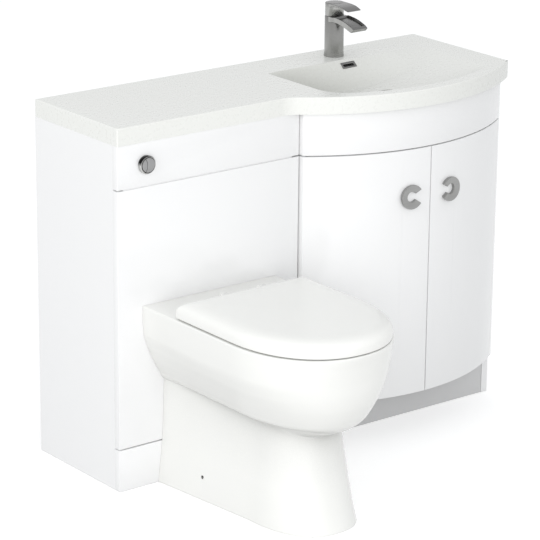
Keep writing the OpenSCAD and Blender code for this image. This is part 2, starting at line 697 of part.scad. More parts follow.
// Two thin air hoses: back from the housing, across over the lid, then down to the valve.
air_r = 2.4;
air_bend = 16;
module quarter(r, tube) rotate_extrude(angle = 90) translate([r, 0]) circle(r = tube);
module air_hose(s) {
  z = button_z + s * 6;
  x1 = wc_x + s * 8;
  y0 = -front_y + housing_deep + 11;
  difference() {
    union() {
      bar_y(button_cx, z, y0 - 8, -tank_y - air_bend, air_r + 1);
      translate([button_cx + air_bend, -tank_y - air_bend, z]) rotate([0, 0, 90]) quarter(air_bend, air_r + 1);
      bar_x(-tank_y, z, button_cx + air_bend, x1 - air_bend, air_r + 1);
      translate([x1 - air_bend, -tank_y, z - air_bend]) rotate([90, 0, 0]) quarter(air_bend, air_r + 1);
      post(x1, -tank_y, tank_z + tank_wall + tower_h + 3, air_r + 1, z - air_bend - tank_z - tank_wall - tower_h - 3);
    }
    bar_y(button_cx, z, y0 - 9, y0 + 0.5, 2.6 + fit);
    post(x1, -tank_y, tank_z + tank_wall + tower_h + 2, 2.6 + fit, 10.5);
  }
}
module air_hoses() color(plastic_grey) sited() for (s = [-1, 1]) air_hose(s);

flush_r = 19.5;
flush_bend = 45;
socket_r = 27;
flush_end = front_y + 32;                    // end of the flush pipe in the pan, from the wall
module tube_y(x, z, y0, y1, r, bore) difference() {
  bar_y(x, z, y0, y1, r);
  bar_y(x, z, y0 - 1, y1 + 1, bore);
}
module tube_z(x, y, z0, z1, r, bore) difference() {
  post(x, y, z0, r, z1 - z0);
  post(x, y, z0 - 1, bore, z1 - z0 + 2);
}
module tube_bend(bend, r, bore) rotate_extrude(angle = 90) translate([bend, 0]) difference() {
  circle(r = r);
  circle(r = bore);
}
module flush_pipe() color(plastic_white) sited() {
  tube_z(wc_x, -tank_y, inlet_z + flush_bend, tank_z - 28, flush_r, flush_r - 2);
  translate([wc_x, -tank_y - flush_bend, inlet_z + flush_bend]) rotate([0, 90, 0])
    tube_bend(flush_bend, flush_r, flush_r - 2);
  tube_y(wc_x, inlet_z, -flush_end, -tank_y - flush_bend, flush_r, flush_r - 2);
}

module flush_pipe_seal() color(rubber_black) sited() difference() {
  union() {
    bar_y(wc_x, inlet_z, -front_y - 20, -front_y + 4, socket_r - 0.2);
    bar_y(wc_x, inlet_z, -front_y + 1, -front_y + 5, socket_r + 5);
  }
  bar_y(wc_x, inlet_z, -front_y - 21, -front_y + 6, flush_r + fit);
}

// ---- pan ----

pan_back = front_y + 0.5;
hip = pan_w / 2;
rim_edge = 5;
foot_hw = foot_w / 2;
rim_p = 2.15;
pan_steps = 24;                              // sides of the pan's rounded front
foot_p = 2.35;
foot_in = 27;                                // how much narrower the foot is towards the front
foot_straight = front_y + 299;               // where the foot's straight sides end
hollow_share = 0.68;                         // height of the hollow in the foot, under the tub
straight_y = front_y + 319;                  // where the straight sides of the pan end

// The tub's side: share of the rim's height, how much narrower than the hip, and how much
// shorter than the rim.
tub_rows = [[0.4206, 118, 170], [0.472, 103, 108], [0.5187, 96, 82], [0.5467, 95.5, 71],
  [0.5584, 93, 66], [0.5654, 87, 62], [0.5701, 76, 59.5], [0.5748, 66, 57.5], [0.5818, 58, 54],
  [0.5935, 51.5, 49], [0.6262, 44, 40], [0.6589, 36.5, 33], [0.7126, 25, 24], [0.7757, 13, 18],
  [0.8505, 3, 17], [0.9393, 0, 12], [0.9696, 0, 4], [0.986, 0, 0], [1, 5, 5]];
// The foot's side: share of the rim's height, how much narrower than at the floor, how much
// shorter, and how much narrower where its front begins to round.
foot_rows = [[0, 0, 0, 1], [0.0304, 0.5, 5, 2], [0.1005, 2, 16, 5], [0.2009, 6, 27, 9.5],
  [0.257, 8, 32, 12.5], [0.3411, 10, 39, 17], [0.4696, 11.5, 49, 23], [0.6005, 13, 62, 28]];

function tub_ring(row, inset = 0) = d_ring(hip - row[1] - inset, pan_back,
  straight_y - 0.6 * row[1], pan_front - row[2] - inset, rim_p, 1, pan_h * row[0], steps = pan_steps);
function foot_ring(row, inset, z) = d_ring(foot_hw - row[1] - inset, pan_back, foot_straight,
  pan_front - toe_back - row[2] - inset, foot_p, 1, z, foot_hw - foot_in - row[3] - inset, pan_steps);

// The bowl's inside: share of the rim's height, half width, back and front from the rim's
// front.
bowl_rows = [[0.53, 34, 232, 168], [0.6, 52, 258, 140], [0.7, 80, 292, 96], [0.85, 110, 322, 55],
  [0.95, 122, 334, 38], [1.01, 126, 338, 34]];
function bowl_ring(row) = [for (i = [0:35]) let (a = 10 * i, c = cos(a), s = sin(a),
  mid = (row[2] + row[3]) / 2, half = (row[2] - row[3]) / 2)
  [wc_x + row[1] * sign(c) * pow(abs(c), 0.9), -pan_front + mid + half * sign(s) * pow(abs(s), 0.9), pan_h * row[0]]];

spigot_r = 51;
hinge_dx = 78;
hinge_y = lid_back + 12;                     // hinge axis of seat and lid, from the wall
hinge_z = pan_h + 21;
post_bolt_r = 4;
fix_y = front_y + 140;
fix_z = 53;
fix_r = 4.2;
fix_hw = foot_hw - foot_in * (fix_y - pan_back) / (foot_straight - pan_back);   // foot's half width there

module pan() color(china_white) sited() difference() {
  union() {
    loft([for (row = tub_rows) tub_ring(row)]);
    difference() {
      loft([for (row = foot_rows) foot_ring(row, 0, pan_h * row[0])]);
      loft([for (row = foot_rows) foot_ring(row, pan_wall, pan_h * row[0] * hollow_share - 1)]);
      block(wc_x - 78, -pan_back - 40, -1, 156, 41, outlet_z + 62);
    }
    bar_y(wc_x, outlet_z, -front_y - 160, -front_y + 40, spigot_r);
  }
  bar_y(wc_x, outlet_z, -front_y - 150, -front_y + 41, spigot_r - 8);
  loft([for (row = bowl_rows) bowl_ring(row)]);
  bar_y(wc_x, inlet_z, -front_y - 60, -front_y + 1, socket_r);
  bar_y(wc_x, inlet_z, -pan_front + 260, -front_y + 1, 12);
  for (s = [-1, 1]) {
    post(wc_x + s * hinge_dx, -hinge_y, pan_h - 40, post_bolt_r + 0.3, 50);
    bar_x(-fix_y, fix_z, wc_x + s * fix_hw - 30, wc_x + s * fix_hw + 30, fix_r);
  }
}

sleeve_r = 60;
soil_r = 55;
module pan_connector() color(plastic_white) sited() difference() {
  union() {
    bar_y(wc_x, outlet_z, -front_y + 12, -front_y + 80, sleeve_r);
    bar_y(wc_x, outlet_z, -front_y + 75, 0, soil_r);
  }
  bar_y(wc_x, outlet_z, -front_y + 11, -front_y + 42, spigot_r + fit);
  bar_y(wc_x, outlet_z, -front_y + 40, 1, soil_r - 5);
}

bracket_x = fix_hw - 31;
module pan_brackets() color(plastic_white) sited() for (s = [-1, 1]) difference() {
  translate([wc_x, 0, 0]) union() {
    block(s > 0 ? bracket_x - 5 : -bracket_x, -fix_y - 25, 0, 5, 50, fix_z + 20);
    block(s > 0 ? bracket_x - 35 : -bracket_x, -fix_y - 25, 0, 35, 50, 5);
  }
  bar_x(-fix_y, fix_z, wc_x - fix_hw, wc_x + fix_hw, 3.5 + fit);
  for (y = [-12, 12]) post(wc_x + s * (bracket_x - 20), -fix_y + y, -1, 3, 8);
}

module pan_screws() color(chrome_grey) sited() for (s = [-1, 1]) {
  bar_x(-fix_y, fix_z, s > 0 ? wc_x + bracket_x - 12 : wc_x - fix_hw + 9,
    s > 0 ? wc_x + fix_hw - 9 : wc_x - bracket_x + 12, 3.5);
}

// ---- seat and lid ----

lid_hw = lid_w / 2;
lid_corner = 6;
lid_low = pan_h + 3;
lid_top = pan_h + lid_h;
pin_r = 4;
seat_low = pan_h + 3.5;
// The lid's side: height above its lower edge as a share, and how far it is drawn in.
lid_rows = [[0, 0], [0.42, 0], [0.62, 2], [0.78, 6], [0.9, 13], [0.97, 24], [1, 44]];
function lid_ring(row) = d_ring(lid_hw - row[1], lid_back + 0.8 * row[1], straight_y,
  lid_front - row[1], rim_p, lid_corner, lid_low + (lid_top - lid_low) * row[0]);
function lid_inner(z, inset) = d_ring(lid_hw - inset, lid_back + inset, straight_y,
  lid_front - inset, rim_p, lid_corner - 2, z);

lug_r = 9;
module lid() color(china_white) sited() difference() {
  union() {
    difference() {
      loft([for (row = lid_rows) lid_ring(row)]);
      loft([lid_inner(lid_low - 1, lid_wall), lid_inner(lid_top - 18, lid_wall),
        lid_inner(lid_top - 9, lid_wall + 8), lid_inner(lid_top - lid_wall, lid_wall + 22)]);
    }
    for (s = [-1, 1]) hinge_lug(s * (hinge_dx - 26), 20, lid_top - lid_wall - hinge_z + 1);
  }
  bar_x(-hinge_y, hinge_z, wc_x - hinge_dx - 60, wc_x + hinge_dx + 60, pin_r + fit);
  // the back of the lid stops short, so that it can swing past the ledge and the posts
  block(wc_x - hip, -hinge_y - 3, lid_low - 2, pan_w, 30, 9);
  for (s = [-1, 1]) block(wc_x + s * (hinge_dx + 12) - 27.5, -hinge_y - 14, lid_low - 2, 55, 50, hinge_z - lid_low + 14);
}

// An eye round the hinge pin, joined to the lid above or the seat in front.
module hinge_lug(dx, w, up) translate([wc_x + dx - w / 2, -hinge_y, hinge_z]) {
  rotate([0, 90, 0]) cylinder(r = lug_r, h = w);
  translate([0, -lug_r, 0]) cube([w, 2 * lug_r, up]);
}

seat_hw = lid_hw - lid_wall - 3;
seat_back = hinge_y + 16;
seat_over = 18;                              // how far the seat reaches over the bowl's edge
bowl_edge_row = bowl_rows[len(bowl_rows) - 1];
seat_hole_row = [0, bowl_edge_row[1] - seat_over, bowl_edge_row[2] - seat_over + 2, bowl_edge_row[3] + seat_over];
module seat() color(china_white) sited() difference() {
  union() {
    translate([0, 0, seat_low]) linear_extrude(height = seat_t)
      polygon(flat(d_ring(seat_hw, seat_back, straight_y, lid_front - lid_wall - 3, rim_p, 20, 0)));
    for (s = [-1, 1]) translate([wc_x + s * (hinge_dx + 25) - 10, -seat_back - 4, 0]) {
      translate([0, seat_back + 4 - hinge_y, hinge_z]) rotate([0, 90, 0]) cylinder(r = lug_r, h = 20);
      translate([0, 0, hinge_z - lug_r]) cube([20, seat_back + 4 - hinge_y, lug_r]);
    }
  }
  bar_x(-hinge_y, hinge_z, wc_x - hinge_dx - 60, wc_x + hinge_dx + 60, pin_r + fit);
  translate([0, 0, seat_low - 1]) linear_extrude(height = seat_t + 2)
    polygon([for (p = bowl_ring(seat_hole_row)) [p[0], p[1]]]);
}

module seat_buffers() color(plastic_white) sited() for (s = [-1, 1]) for (y = [lid_back + 60, lid_front - 110])
  post(wc_x + s * (y > straight_y ? 112 : 140), -y, pan_h + 0.2, 8, seat_low - pan_h - 0.2);

module seat_hinge_posts() color(chrome_grey) sited() for (s = [-1, 1]) {
  x = wc_x + s * hinge_dx;
  post(x, -hinge_y, pan_h - 36, post_bolt_r, 40);
  post(x, -hinge_y, pan_h + 0.1, 12, 5);
  block(x - 9, -hinge_y - 7, pan_h + 4, 18, 14, hinge_z - pan_h - 4);
  bar_x(-hinge_y, hinge_z, x - 9, x + 9, 7);
  bar_x(-hinge_y, hinge_z, x + (s > 0 ? -35 : -34), x + (s > 0 ? 34 : 35), pin_r);
}

// ---- basin cupboard ----

bow_edge = sqrt(pow(bow_r, 2) - pow(bow_cx, 2)) - bow_cy;   // the bow at its two sides, from the wall
side_front = bow_edge - 27;                  // front edge of the side panels behind the doors
toe_front = bow_edge - 11;                   // and below the doors
module basin_side(x) side_profile(x, board_t) polygon([
  [0, 0], [0, carcass_h], [-side_front, carcass_h], [-side_front, plinth_h - 2],
  [-toe_front, plinth_h - 2], [-toe_front, 0]]);

module basin_left_side() color(carcass_white) sited() basin_side(0);
module basin_right_side() color(white_gloss) sited() basin_side(basin_w - board_t);

// Vertical axis of a door, set in the middle of the door's thickness near its outer edge.
pivot_in = 8;
pivot_r = bow_r - 8;
pivot_y = sqrt(pow(pivot_r, 2) - pow(bow_cx - pivot_in, 2)) - bow_cy;
door_sweep = 21;
module clear_of_doors(z, h) for (x = [pivot_in, basin_w - pivot_in])
  post(x, -pivot_y, z, door_sweep, h);

base_back = 3;                               // base's front edge behind the doors
module bow_board(r, z) intersection() {
  block(board_t, -bow_front, z, basin_w - 2 * board_t, bow_front, board_t);
  translate([bow_cx, bow_cy, z]) cylinder(r = r, h = board_t, $fn = 128);
}

module basin_base() color(carcass_white) sited() difference() {
  bow_board(inner_r - base_back, plinth_h);
  clear_of_doors(plinth_h - 1, board_t + 2);
}

module basin_shelf() color(carcass_white) sited() difference() {
  bow_board(inner_r - 30, shelf_z);
  block(board_t, -20, shelf_z - 1, basin_w - 2 * board_t, 21, board_t + 2);
}

module shelf_pegs() color(chrome_grey) sited() for (y = [70, side_d - 50])
  for (x = [board_t, basin_w - board_t - 10]) bar_x(-y, shelf_z - 3, x, x + 10, 2.7);

module basin_back_rail() color(carcass_white) sited() difference() {
  block(board_t, -board_t, rail_low, basin_w - 2 * board_t, board_t, rail_h);
  for (s = [-1, 1]) bar_y(bow_cx + s * basin_w / 4, rail_low + rail_h / 2, -board_t - 1, 1, rail_hole_r);
}

module basin_plinth() color(white_gloss) sited()
  block(board_t + 0.5, -toe_front + 1.5, 0, basin_w - 2 * board_t - 1, board_t, plinth_h - 2.3);

// A bowed board between two x values.
module bowed(x0, x1, z0, z1) intersection() {
  translate([bow_cx, bow_cy, z0]) difference() {
    cylinder(r = bow_r, h = z1 - z0, $fn = 128);
    translate([0, 0, -1]) cylinder(r = inner_r, h = z1 - z0 + 2, $fn = 128);
  }
  block(x0, -bow_front - 1, z0, x1 - x0, bow_front - side_front + 22, z1 - z0);
}

module curved_fascia() color(white_gloss) sited()
  bowed(1, basin_w - 1, upper_z + front_gap / 2, carcass_h);

module fascia_blocks() color(carcass_white) sited() intersection() {
  for (x = [board_t, basin_w - board_t - 26])
    block(x, -bow_front, upper_z + 32, 26, bow_front - side_front + 27, 60);
  translate([bow_cx, bow_cy, upper_z]) cylinder(r = inner_r - 0.1, h = fascia_h, $fn = 128);
}

hinge_pin_r = 3;
bush_deep = 20;
edge_gap = 2;
handle_z = high_z - handle_down;
handle_turn = asin(handle_off / bow_r);
handle_bore_r = 2;

// Frame of a handle on the bowed front: local +Z stands out of the door.
module at_handle(side) translate([bow_cx, bow_cy, handle_z])
  rotate([0, 0, side * handle_turn]) translate([0, -bow_r, 0]) rotate([90, 0, 0]) children();

module door(side) difference() {
  if (side < 0) bowed(edge_gap, bow_cx - front_gap / 2, low_z, high_z);
  else bowed(bow_cx + front_gap / 2, basin_w - edge_gap, low_z, high_z);
  x = bow_cx + side * (bow_cx - pivot_in);
  post(x, -pivot_y, high_z - bush_deep, hinge_pin_r + fit, bush_deep + 1);
  post(x, -pivot_y, low_z - 1, hinge_pin_r + fit, bush_deep + 1);
  at_handle(side) translate([side * (handle_hole + handle_d) / 4, 0, -board_t - 3])
    cylinder(r = handle_bore_r + 0.2, h = board_t + 5);
}
module left_door() color(white_gloss) sited() door(-1);
module right_door() color(white_gloss) sited() door(1);

// An open ring, its mouth towards the other door, dished towards the hole, with the
// screw that holds it.
mouth = 34;
module handle(side) at_handle(side) {
  difference() {
    translate([0, 0, -0.3]) rotate_extrude($fn = 96) polygon([
      [handle_hole / 2, 0.6], [handle_d / 2 - 3, 0.6], [handle_d / 2, handle_t - 5],
      [handle_d / 2, handle_t - 1], [handle_d / 2 - 1, handle_t], [handle_hole / 2 + 1, handle_t - 2.5],
      [handle_hole / 2, handle_t - 3.5]]);
    linear_extrude(height = 3 * handle_t, center = true) polygon([[0, 0],
      [-side * handle_d, handle_d * tan(mouth)], [-side * handle_d, -handle_d * tan(mouth)]]);
    translate([side * (handle_hole + handle_d) / 4, 0, -1]) cylinder(r = handle_bore_r, h = 7);
  }
  translate([side * (handle_hole + handle_d) / 4, 0, -board_t - 3.2]) {
    cylinder(r = handle_bore_r, h = board_t + 8.7);
    cylinder(r = 4, h = 2);
  }
}
module left_handle() color(chrome_grey) sited() handle(-1);
module right_handle() color(chrome_grey) sited() handle(1);

// Top and bottom pivots of a door: a plate on the cupboard and a pin up or down into the door.
pivot_plate = 1.6;
module pivots(side) {
  x = bow_cx + side * (bow_cx - pivot_in);
  plate_x = side < 0 ? 1 : basin_w - board_t - 3;
  for (top = [0, 1]) {
    z = top ? high_z + front_gap / 2 - pivot_plate / 2 : plinth_h - 2;
    difference() {
      union() {
        block(plate_x, -pivot_y, z, board_t + 2, pivot_y - side_front + 12, pivot_plate);
        post(x, -pivot_y, z, 6.5, pivot_plate);
      }
      if (!top) block(plate_x - 1, -side_front, z - 1, board_t + 5, 20, pivot_plate + 2);
      if (top) block(side < 0 ? -1 : basin_w - board_t, -side_front, z - 1, board_t + 1, 20, pivot_plate + 2);
    }
    post(x, -pivot_y, top ? high_z - bush_deep + 2 : z, hinge_pin_r,
      top ? z - high_z + bush_deep - 1 : low_z + bush_deep - 2 - z);
  }
  // cheek that screws the upper plate to the side panel
  block(side < 0 ? board_t : basin_w - board_t - 2, -side_front, high_z + 2, 2, 12, 26);
}
module left_pivots() color(chrome_grey) sited() pivots(-1);
module right_pivots() color(chrome_grey) sited() pivots(1);

// Bolts that hold the two cupboards together.
bolt_r = 3;
bolt_in = 60;                                // bolts from the edges of the side panels
module cabinet_bolts() color(chrome_grey) sited() for (y = [bolt_in, side_d - bolt_in]) for (z = [carcass_h / 4, carcass_h - bolt_in]) {
  bar_x(-y, z, -board_t - 3, -board_t, 7);
  bar_x(-y, z, board_t, board_t + 3, 7);
}

module door_bumpers() color(plastic_white) sited() for (s = [-1, 1])
  translate([bow_cx, bow_cy, plinth_h + board_t / 2]) rotate([0, 0, s * 6])
    translate([0, -inner_r + base_back - 0.05, 0]) rotate([90, 0, 0]) cylinder(r = 4, h = base_back - 0.3);

basin_top();
overflow_trim();
waste_body();
waste_backnut();
waste_plug();
bottle_trap();
trap_outlet_pipe();
tap_body();
tap_cartridge();
tap_stem();
tap_lever();
tap_fixing();
tap_hoses();
wc_left_side();
wc_right_side();
wc_top_rail();
wc_back_rail();
wc_cistern_board();
wc_battens();
wc_upper_fascia();
wc_access_panel();
wc_plinth();
cistern_tank();
cistern_lid();
flush_valve_tower();
valve_canister();
cistern_nut();
fill_valve();
float_cup();
flush_button_housing();
full_flush_button();
half_flush_button();
air_hoses();
flush_pipe();
flush_pipe_seal();
pan();
pan_connector();
pan_brackets();
pan_screws();
seat_hinge_posts();
seat();
seat_buffers();
lid();
basin_left_side();
basin_right_side();
basin_base();
basin_back_rail();
basin_shelf();
shelf_pegs();
basin_plinth();
curved_fascia();
fascia_blocks();
left_door();
right_door();
left_handle();
right_handle();
left_pivots();
right_pivots();
cabinet_bolts();
door_bumpers();
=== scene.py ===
import json
import math

import bmesh
import bpy
import numpy as np
from mathutils import Matrix, Vector


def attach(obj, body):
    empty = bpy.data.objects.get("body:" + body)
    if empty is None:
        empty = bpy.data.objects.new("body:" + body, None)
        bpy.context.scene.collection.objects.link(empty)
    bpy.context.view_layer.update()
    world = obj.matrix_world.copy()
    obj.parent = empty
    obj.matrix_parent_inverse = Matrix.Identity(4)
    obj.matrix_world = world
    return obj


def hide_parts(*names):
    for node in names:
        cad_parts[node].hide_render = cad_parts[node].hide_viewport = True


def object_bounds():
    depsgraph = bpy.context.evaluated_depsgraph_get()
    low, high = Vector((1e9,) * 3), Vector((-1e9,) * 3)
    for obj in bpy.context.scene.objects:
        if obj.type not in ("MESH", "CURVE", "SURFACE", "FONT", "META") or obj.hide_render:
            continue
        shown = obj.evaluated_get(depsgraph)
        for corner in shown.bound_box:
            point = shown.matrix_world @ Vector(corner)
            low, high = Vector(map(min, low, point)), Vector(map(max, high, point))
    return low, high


bl_info = {
    "name": "Toilet and basin combination unit",
    "version": (1, 0, 0),
    "blender": (4, 5, 0),
    "location": "View3D > Sidebar > Unit",
    "description": "Models the visible pieces of a bathroom combination unit round its CAD frame",
    "category": "Object",
}

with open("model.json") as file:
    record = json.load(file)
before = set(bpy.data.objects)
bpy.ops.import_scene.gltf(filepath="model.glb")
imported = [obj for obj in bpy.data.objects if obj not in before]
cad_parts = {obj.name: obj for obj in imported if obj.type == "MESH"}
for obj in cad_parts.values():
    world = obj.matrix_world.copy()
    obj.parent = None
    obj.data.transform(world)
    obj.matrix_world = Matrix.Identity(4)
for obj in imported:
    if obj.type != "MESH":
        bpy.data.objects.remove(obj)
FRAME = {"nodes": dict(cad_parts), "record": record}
LOW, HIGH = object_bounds()
bpy.ops.object.select_all(action="DESELECT")

# Sizes are millimetres, from the line between the two cupboards (x), the wall (y, so the front
# is negative) and the floor (z). Points are moved to the frame when a mesh is written: its x is
# counted from the middle of the worktop, which runs from -WC_W to END_X.
MM = 1000.0                                         # millimetres in a metre
WC_W, BASIN_W, END_X = 500.0, 600.0, 610.0          # the cupboards, the worktop's right end
WC_X = -WC_W / 2                                    # middle of the cistern cupboard and pan
SITE = Vector(((WC_W - END_X) / 2 / MM, HIGH.y, 0.0))
PLINTH, UPPER, CARCASS, TOP = 100.0, 700.0, 800.0, 840.0
BOARD, GAP, FRONT = 18.0, 3.0, 321.0                # boards, their joints, depth of flat fronts
BOW_CX, BOW_CY, BOW_R = 300.0, 68.0, 500.0          # axis and radius of the bowed fronts
LIP_CX, LIP_R = 305.0, 513.0                        # the same for the worktop's bowed edge
# the bowl's two ends, its back, its depth and the radius of its front rim
BOWL_X0, BOWL_X1, BOWL_BACK, BOWL_D, BOWL_R = 66.0, 537.0, 111.0, 72.0, 482.0
TRAY = 14.0                                         # thickness of the moulded worktop
WASTE = (301.5, -262.0, 777.86)
OVERFLOW, OVERFLOW_TILT = (302.0, -123.66, 828.0), 43.49
TAP_Y, TAP_TOP, TAP_BORE, TAP_HOLE, HEAD_R = 65.0, 936.0, 15.1, 17.5, 22.5
PAN_FRONT, STRAIGHT, RIM_Z, ROUND = 863.0, 640.0, 428.0, 2.15
LID_HW, LID_BACK, LID_FRONT = 180.0, 434.0, 861.0
LID_LOW, LID_TOP, LID_WALL, LID_CROWN = 431.0, 466.5, 6.0, 1.5
SEAT_LOW, SEAT_Y = 431.5, -676.0
HINGE_Y, HINGE_Z, POST_X, PIN_R = 446.0, 449.0, 78.0, 4.05
SOIL_Z, INLET_Z, SCREW_Y, SCREW_Z = 180.0, 300.0, 461.0, 53.0
BUTTON_X, BUTTON_Z, BUTTON_R = -425.0, 750.0, 16.5
PIVOT_X, PIVOT_Y, PIVOT_R = 8.0, -327.98, 3.05
HANDLE_X, HANDLE_Z, HANDLE_SCREW = 58.0, 587.5, 20.75


# ---------------------------------------------------------------- mesh helpers

def place(points):
    """Points of the drawing, moved to metres in the frame."""
    return np.asarray(points, float) / MM + np.array(SITE)


def newest(name):
    """The object that an operator has just made, named."""
    obj = bpy.context.view_layer.objects.active
    obj.name = name
    obj.data.name = name
    return obj


def clear():
    """Object mode, with nothing selected."""
    if bpy.context.mode != "OBJECT":
        bpy.ops.object.mode_set(mode="OBJECT")
    bpy.ops.object.select_all(action="DESELECT")


def only(obj):
    """Object mode, with one object selected and active."""
    clear()
    obj.select_set(True)
    bpy.context.view_layer.objects.active = obj


def edit(obj, mode="VERT", action="DESELECT"):
    """Edit mode, with all of the mesh or none of it selected."""
    only(obj)
    bpy.ops.object.mode_set(mode="EDIT")
    bpy.ops.mesh.select_mode(type=mode)
    bpy.ops.mesh.select_all(action=action)
    return bmesh.from_edit_mesh(obj.data)


def select_edges(obj, test):
    """Edit mode, with those edges selected that pass a test of their two ends, in millimetres,
    and of the edge itself."""
    mesh = edit(obj, "EDGE")
    for e in mesh.edges:
        a, b = ((v.co - SITE) * MM for v in e.verts)
        e.select = bool(test(a, b, e))
    mesh.select_flush_mode()
    bmesh.update_edit_mesh(obj.data)


def done(obj, angle=35.0):
    """Normals outward, smooth up to an angle, and the piece's origin at the frame's."""
    edit(obj, action="SELECT")
    bpy.ops.mesh.normals_make_consistent(inside=False)
    bpy.ops.object.mode_set(mode="OBJECT")
    bpy.ops.object.transform_apply(location=True, rotation=True, scale=True)
    bpy.ops.object.shade_smooth_by_angle(angle=math.radians(angle))
    return obj


def apply_modifier(obj, kind, **settings):
    """A modifier of a kind, added with its settings and applied."""
    only(obj)
    mod = obj.modifiers.new(kind.title(), kind)
    for key, value in settings.items():
        setattr(mod, key, value)
    bpy.ops.object.modifier_apply(modifier=mod.name)


def join(objs, name):
    """Several pieces made one."""
    only(objs[0])
    for o in objs[1:]:
        o.select_set(True)
    bpy.ops.object.join()
    return newest(name)


def subtract(obj, tool, operation="DIFFERENCE"):
    """One piece taken from another, and used up by it."""
    apply_modifier(obj, "BOOLEAN", object=tool, operation=operation, solver="EXACT")
    bpy.data.objects.remove(tool)


def merge(obj, other):
    """One piece united with another, which is used up."""
    subtract(obj, other, "UNION")


def skin(name, rings, closed=True, loop=False, capped=False):
    """A surface through rings of equally many points, shaped from one grid primitive: each ring
    closed or not, the last ring looped to the first or not, and the ends capped or open."""
    rings = np.array([place(r) for r in rings])
    rows, count = rings.shape[:2]
    nu = count if closed else count - 1
    nv = rows if loop else rows - 1
    clear()
    bpy.ops.mesh.primitive_grid_add(x_subdivisions=nu, y_subdivisions=nv, size=2)
    obj = newest(name)
    co = np.zeros(len(obj.data.vertices) * 3)
    obj.data.vertices.foreach_get("co", co)
    co = co.reshape(-1, 3)
    i = np.rint((co[:, 0] + 1) / 2 * nu).astype(int) % count
    j = np.rint((co[:, 1] + 1) / 2 * nv).astype(int) % rows
    obj.data.vertices.foreach_set("co", rings[j, i].ravel())
    obj.data.update()
    edit(obj, action="SELECT")
    bpy.ops.mesh.remove_doubles(threshold=2e-6)
    for ring in (rings[0], rings[-1]) if capped else ():
        mesh = edit(obj, "EDGE")
        for e in mesh.edges:
            e.select = e.is_boundary and all(
                abs(ring - np.array(v.co)).sum(1).min() < 2e-5 for v in e.verts)
        bmesh.update_edit_mesh(obj.data)
        bpy.ops.mesh.edge_face_add()
    bpy.ops.object.mode_set(mode="OBJECT")
    return obj


def cylinder(name, centre, r, h, axis="Z", segments=64, bevel=0.0):
    """A cylinder primitive from its lower centre along an axis, with its rims bevelled."""
    clear()
    turn = {"Z": (0, 0, 0), "Y": (-math.pi / 2, 0, 0), "X": (0, math.pi / 2, 0)}[axis]
    along = {"Z": (0, 0, 1), "Y": (0, 1, 0), "X": (1, 0, 0)}[axis]
    middle = Vector(place(centre)) + Vector(along) * h / (2 * MM)
    bpy.ops.mesh.primitive_cylinder_add(vertices=segments, radius=r / MM, depth=h / MM,
                                        location=middle, rotation=turn)
    obj = newest(name)
    bpy.ops.object.transform_apply(location=True, rotation=True, scale=True)
    if bevel:
        mesh = edit(obj, "EDGE")
        for e in mesh.edges:
            e.select = e.calc_face_angle(0) > 1
        bmesh.update_edit_mesh(obj.data)
        bpy.ops.mesh.bevel(offset=bevel / MM, segments=3, profile=0.5)
    return obj


def slab(name, low, high, bevel=1.0):
    """A board from its lowest to its highest corner, with eased edges."""
    clear()
    a, b = Vector(place(low)), Vector(place(high))
    bpy.ops.mesh.primitive_cube_add(size=1, location=(a + b) / 2, scale=(b - a))
    obj = newest(name)
    bpy.ops.object.transform_apply(location=True, rotation=True, scale=True)
    if bevel:
        edit(obj, "EDGE", "SELECT")
        bpy.ops.mesh.bevel(offset=bevel / MM, segments=3, profile=0.5)
    return done(obj, 40)


def bore(obj, holes, segments=32):
    """Round holes (lower centre, radius, length, axis) cut through a piece."""
    for c, r, h, axis in holes:
        subtract(obj, done(cylinder("hole", c, r, h, axis, segments)))


def cut(obj, low, high):
    """A box cut out of a piece."""
    subtract(obj, slab("box", low, high, 0))


def face(name, points):
    """One face round a loop of points, selected in edit mode."""
    clear()
    bpy.ops.mesh.primitive_circle_add(vertices=len(points), radius=1, fill_type="NGON")
    obj = newest(name)
    obj.data.vertices.foreach_set("co", place(points).ravel())
    edit(obj, "FACE", "SELECT")
    return obj


def eased(obj, width):
    """Out of edit mode, with normals outward and the sharp edges rounded."""
    bpy.ops.mesh.select_all(action="SELECT")
    bpy.ops.mesh.normals_make_consistent(inside=False)
    bpy.ops.object.mode_set(mode="OBJECT")
    if width:
        apply_modifier(obj, "BEVEL", width=width / MM, segments=3, limit_method="ANGLE",
                       angle_limit=math.radians(40))
    return obj


def at_height(outline, z):
    """An outline of x and y, at one height."""
    return np.column_stack([np.array(outline, float), np.full(len(outline), z)])


def prism(name, outline, put, low, high, bevel=0.5):
    """A flat outline, extruded between two heights of a local frame, its edges eased."""
    obj = face(name, put(at_height(outline, low)))
    rise = put(np.array([[0, 0, high]])) - put(np.array([[0, 0, low]]))
    bpy.ops.mesh.extrude_region_move(TRANSFORM_OT_translate={"value": tuple(rise[0] / MM)})
    return eased(obj, bevel)


def oblong(w, h, x=0.0):
    """An outline of half width w and half height h."""
    return [(x - w, -h), (x + w, -h), (x + w, h), (x - w, h)]


def lathe(name, profile, put, steps=64, arc=(0, 360), closed=False, capped=False):
    """A profile of radius and height turned about an axis that a function places."""
    full = arc[1] - arc[0] == 360
    angles = np.radians(np.linspace(*arc, steps + 1))[:steps if full else None]
    profile = np.array(profile, float)
    rings = [put(np.column_stack([profile[:, 0] * math.cos(a), profile[:, 0] * math.sin(a),
                                  profile[:, 1]])) for a in angles]
    return skin(name, rings, closed, full, capped)


# ---------------------------------------------------------------- curves and outlines

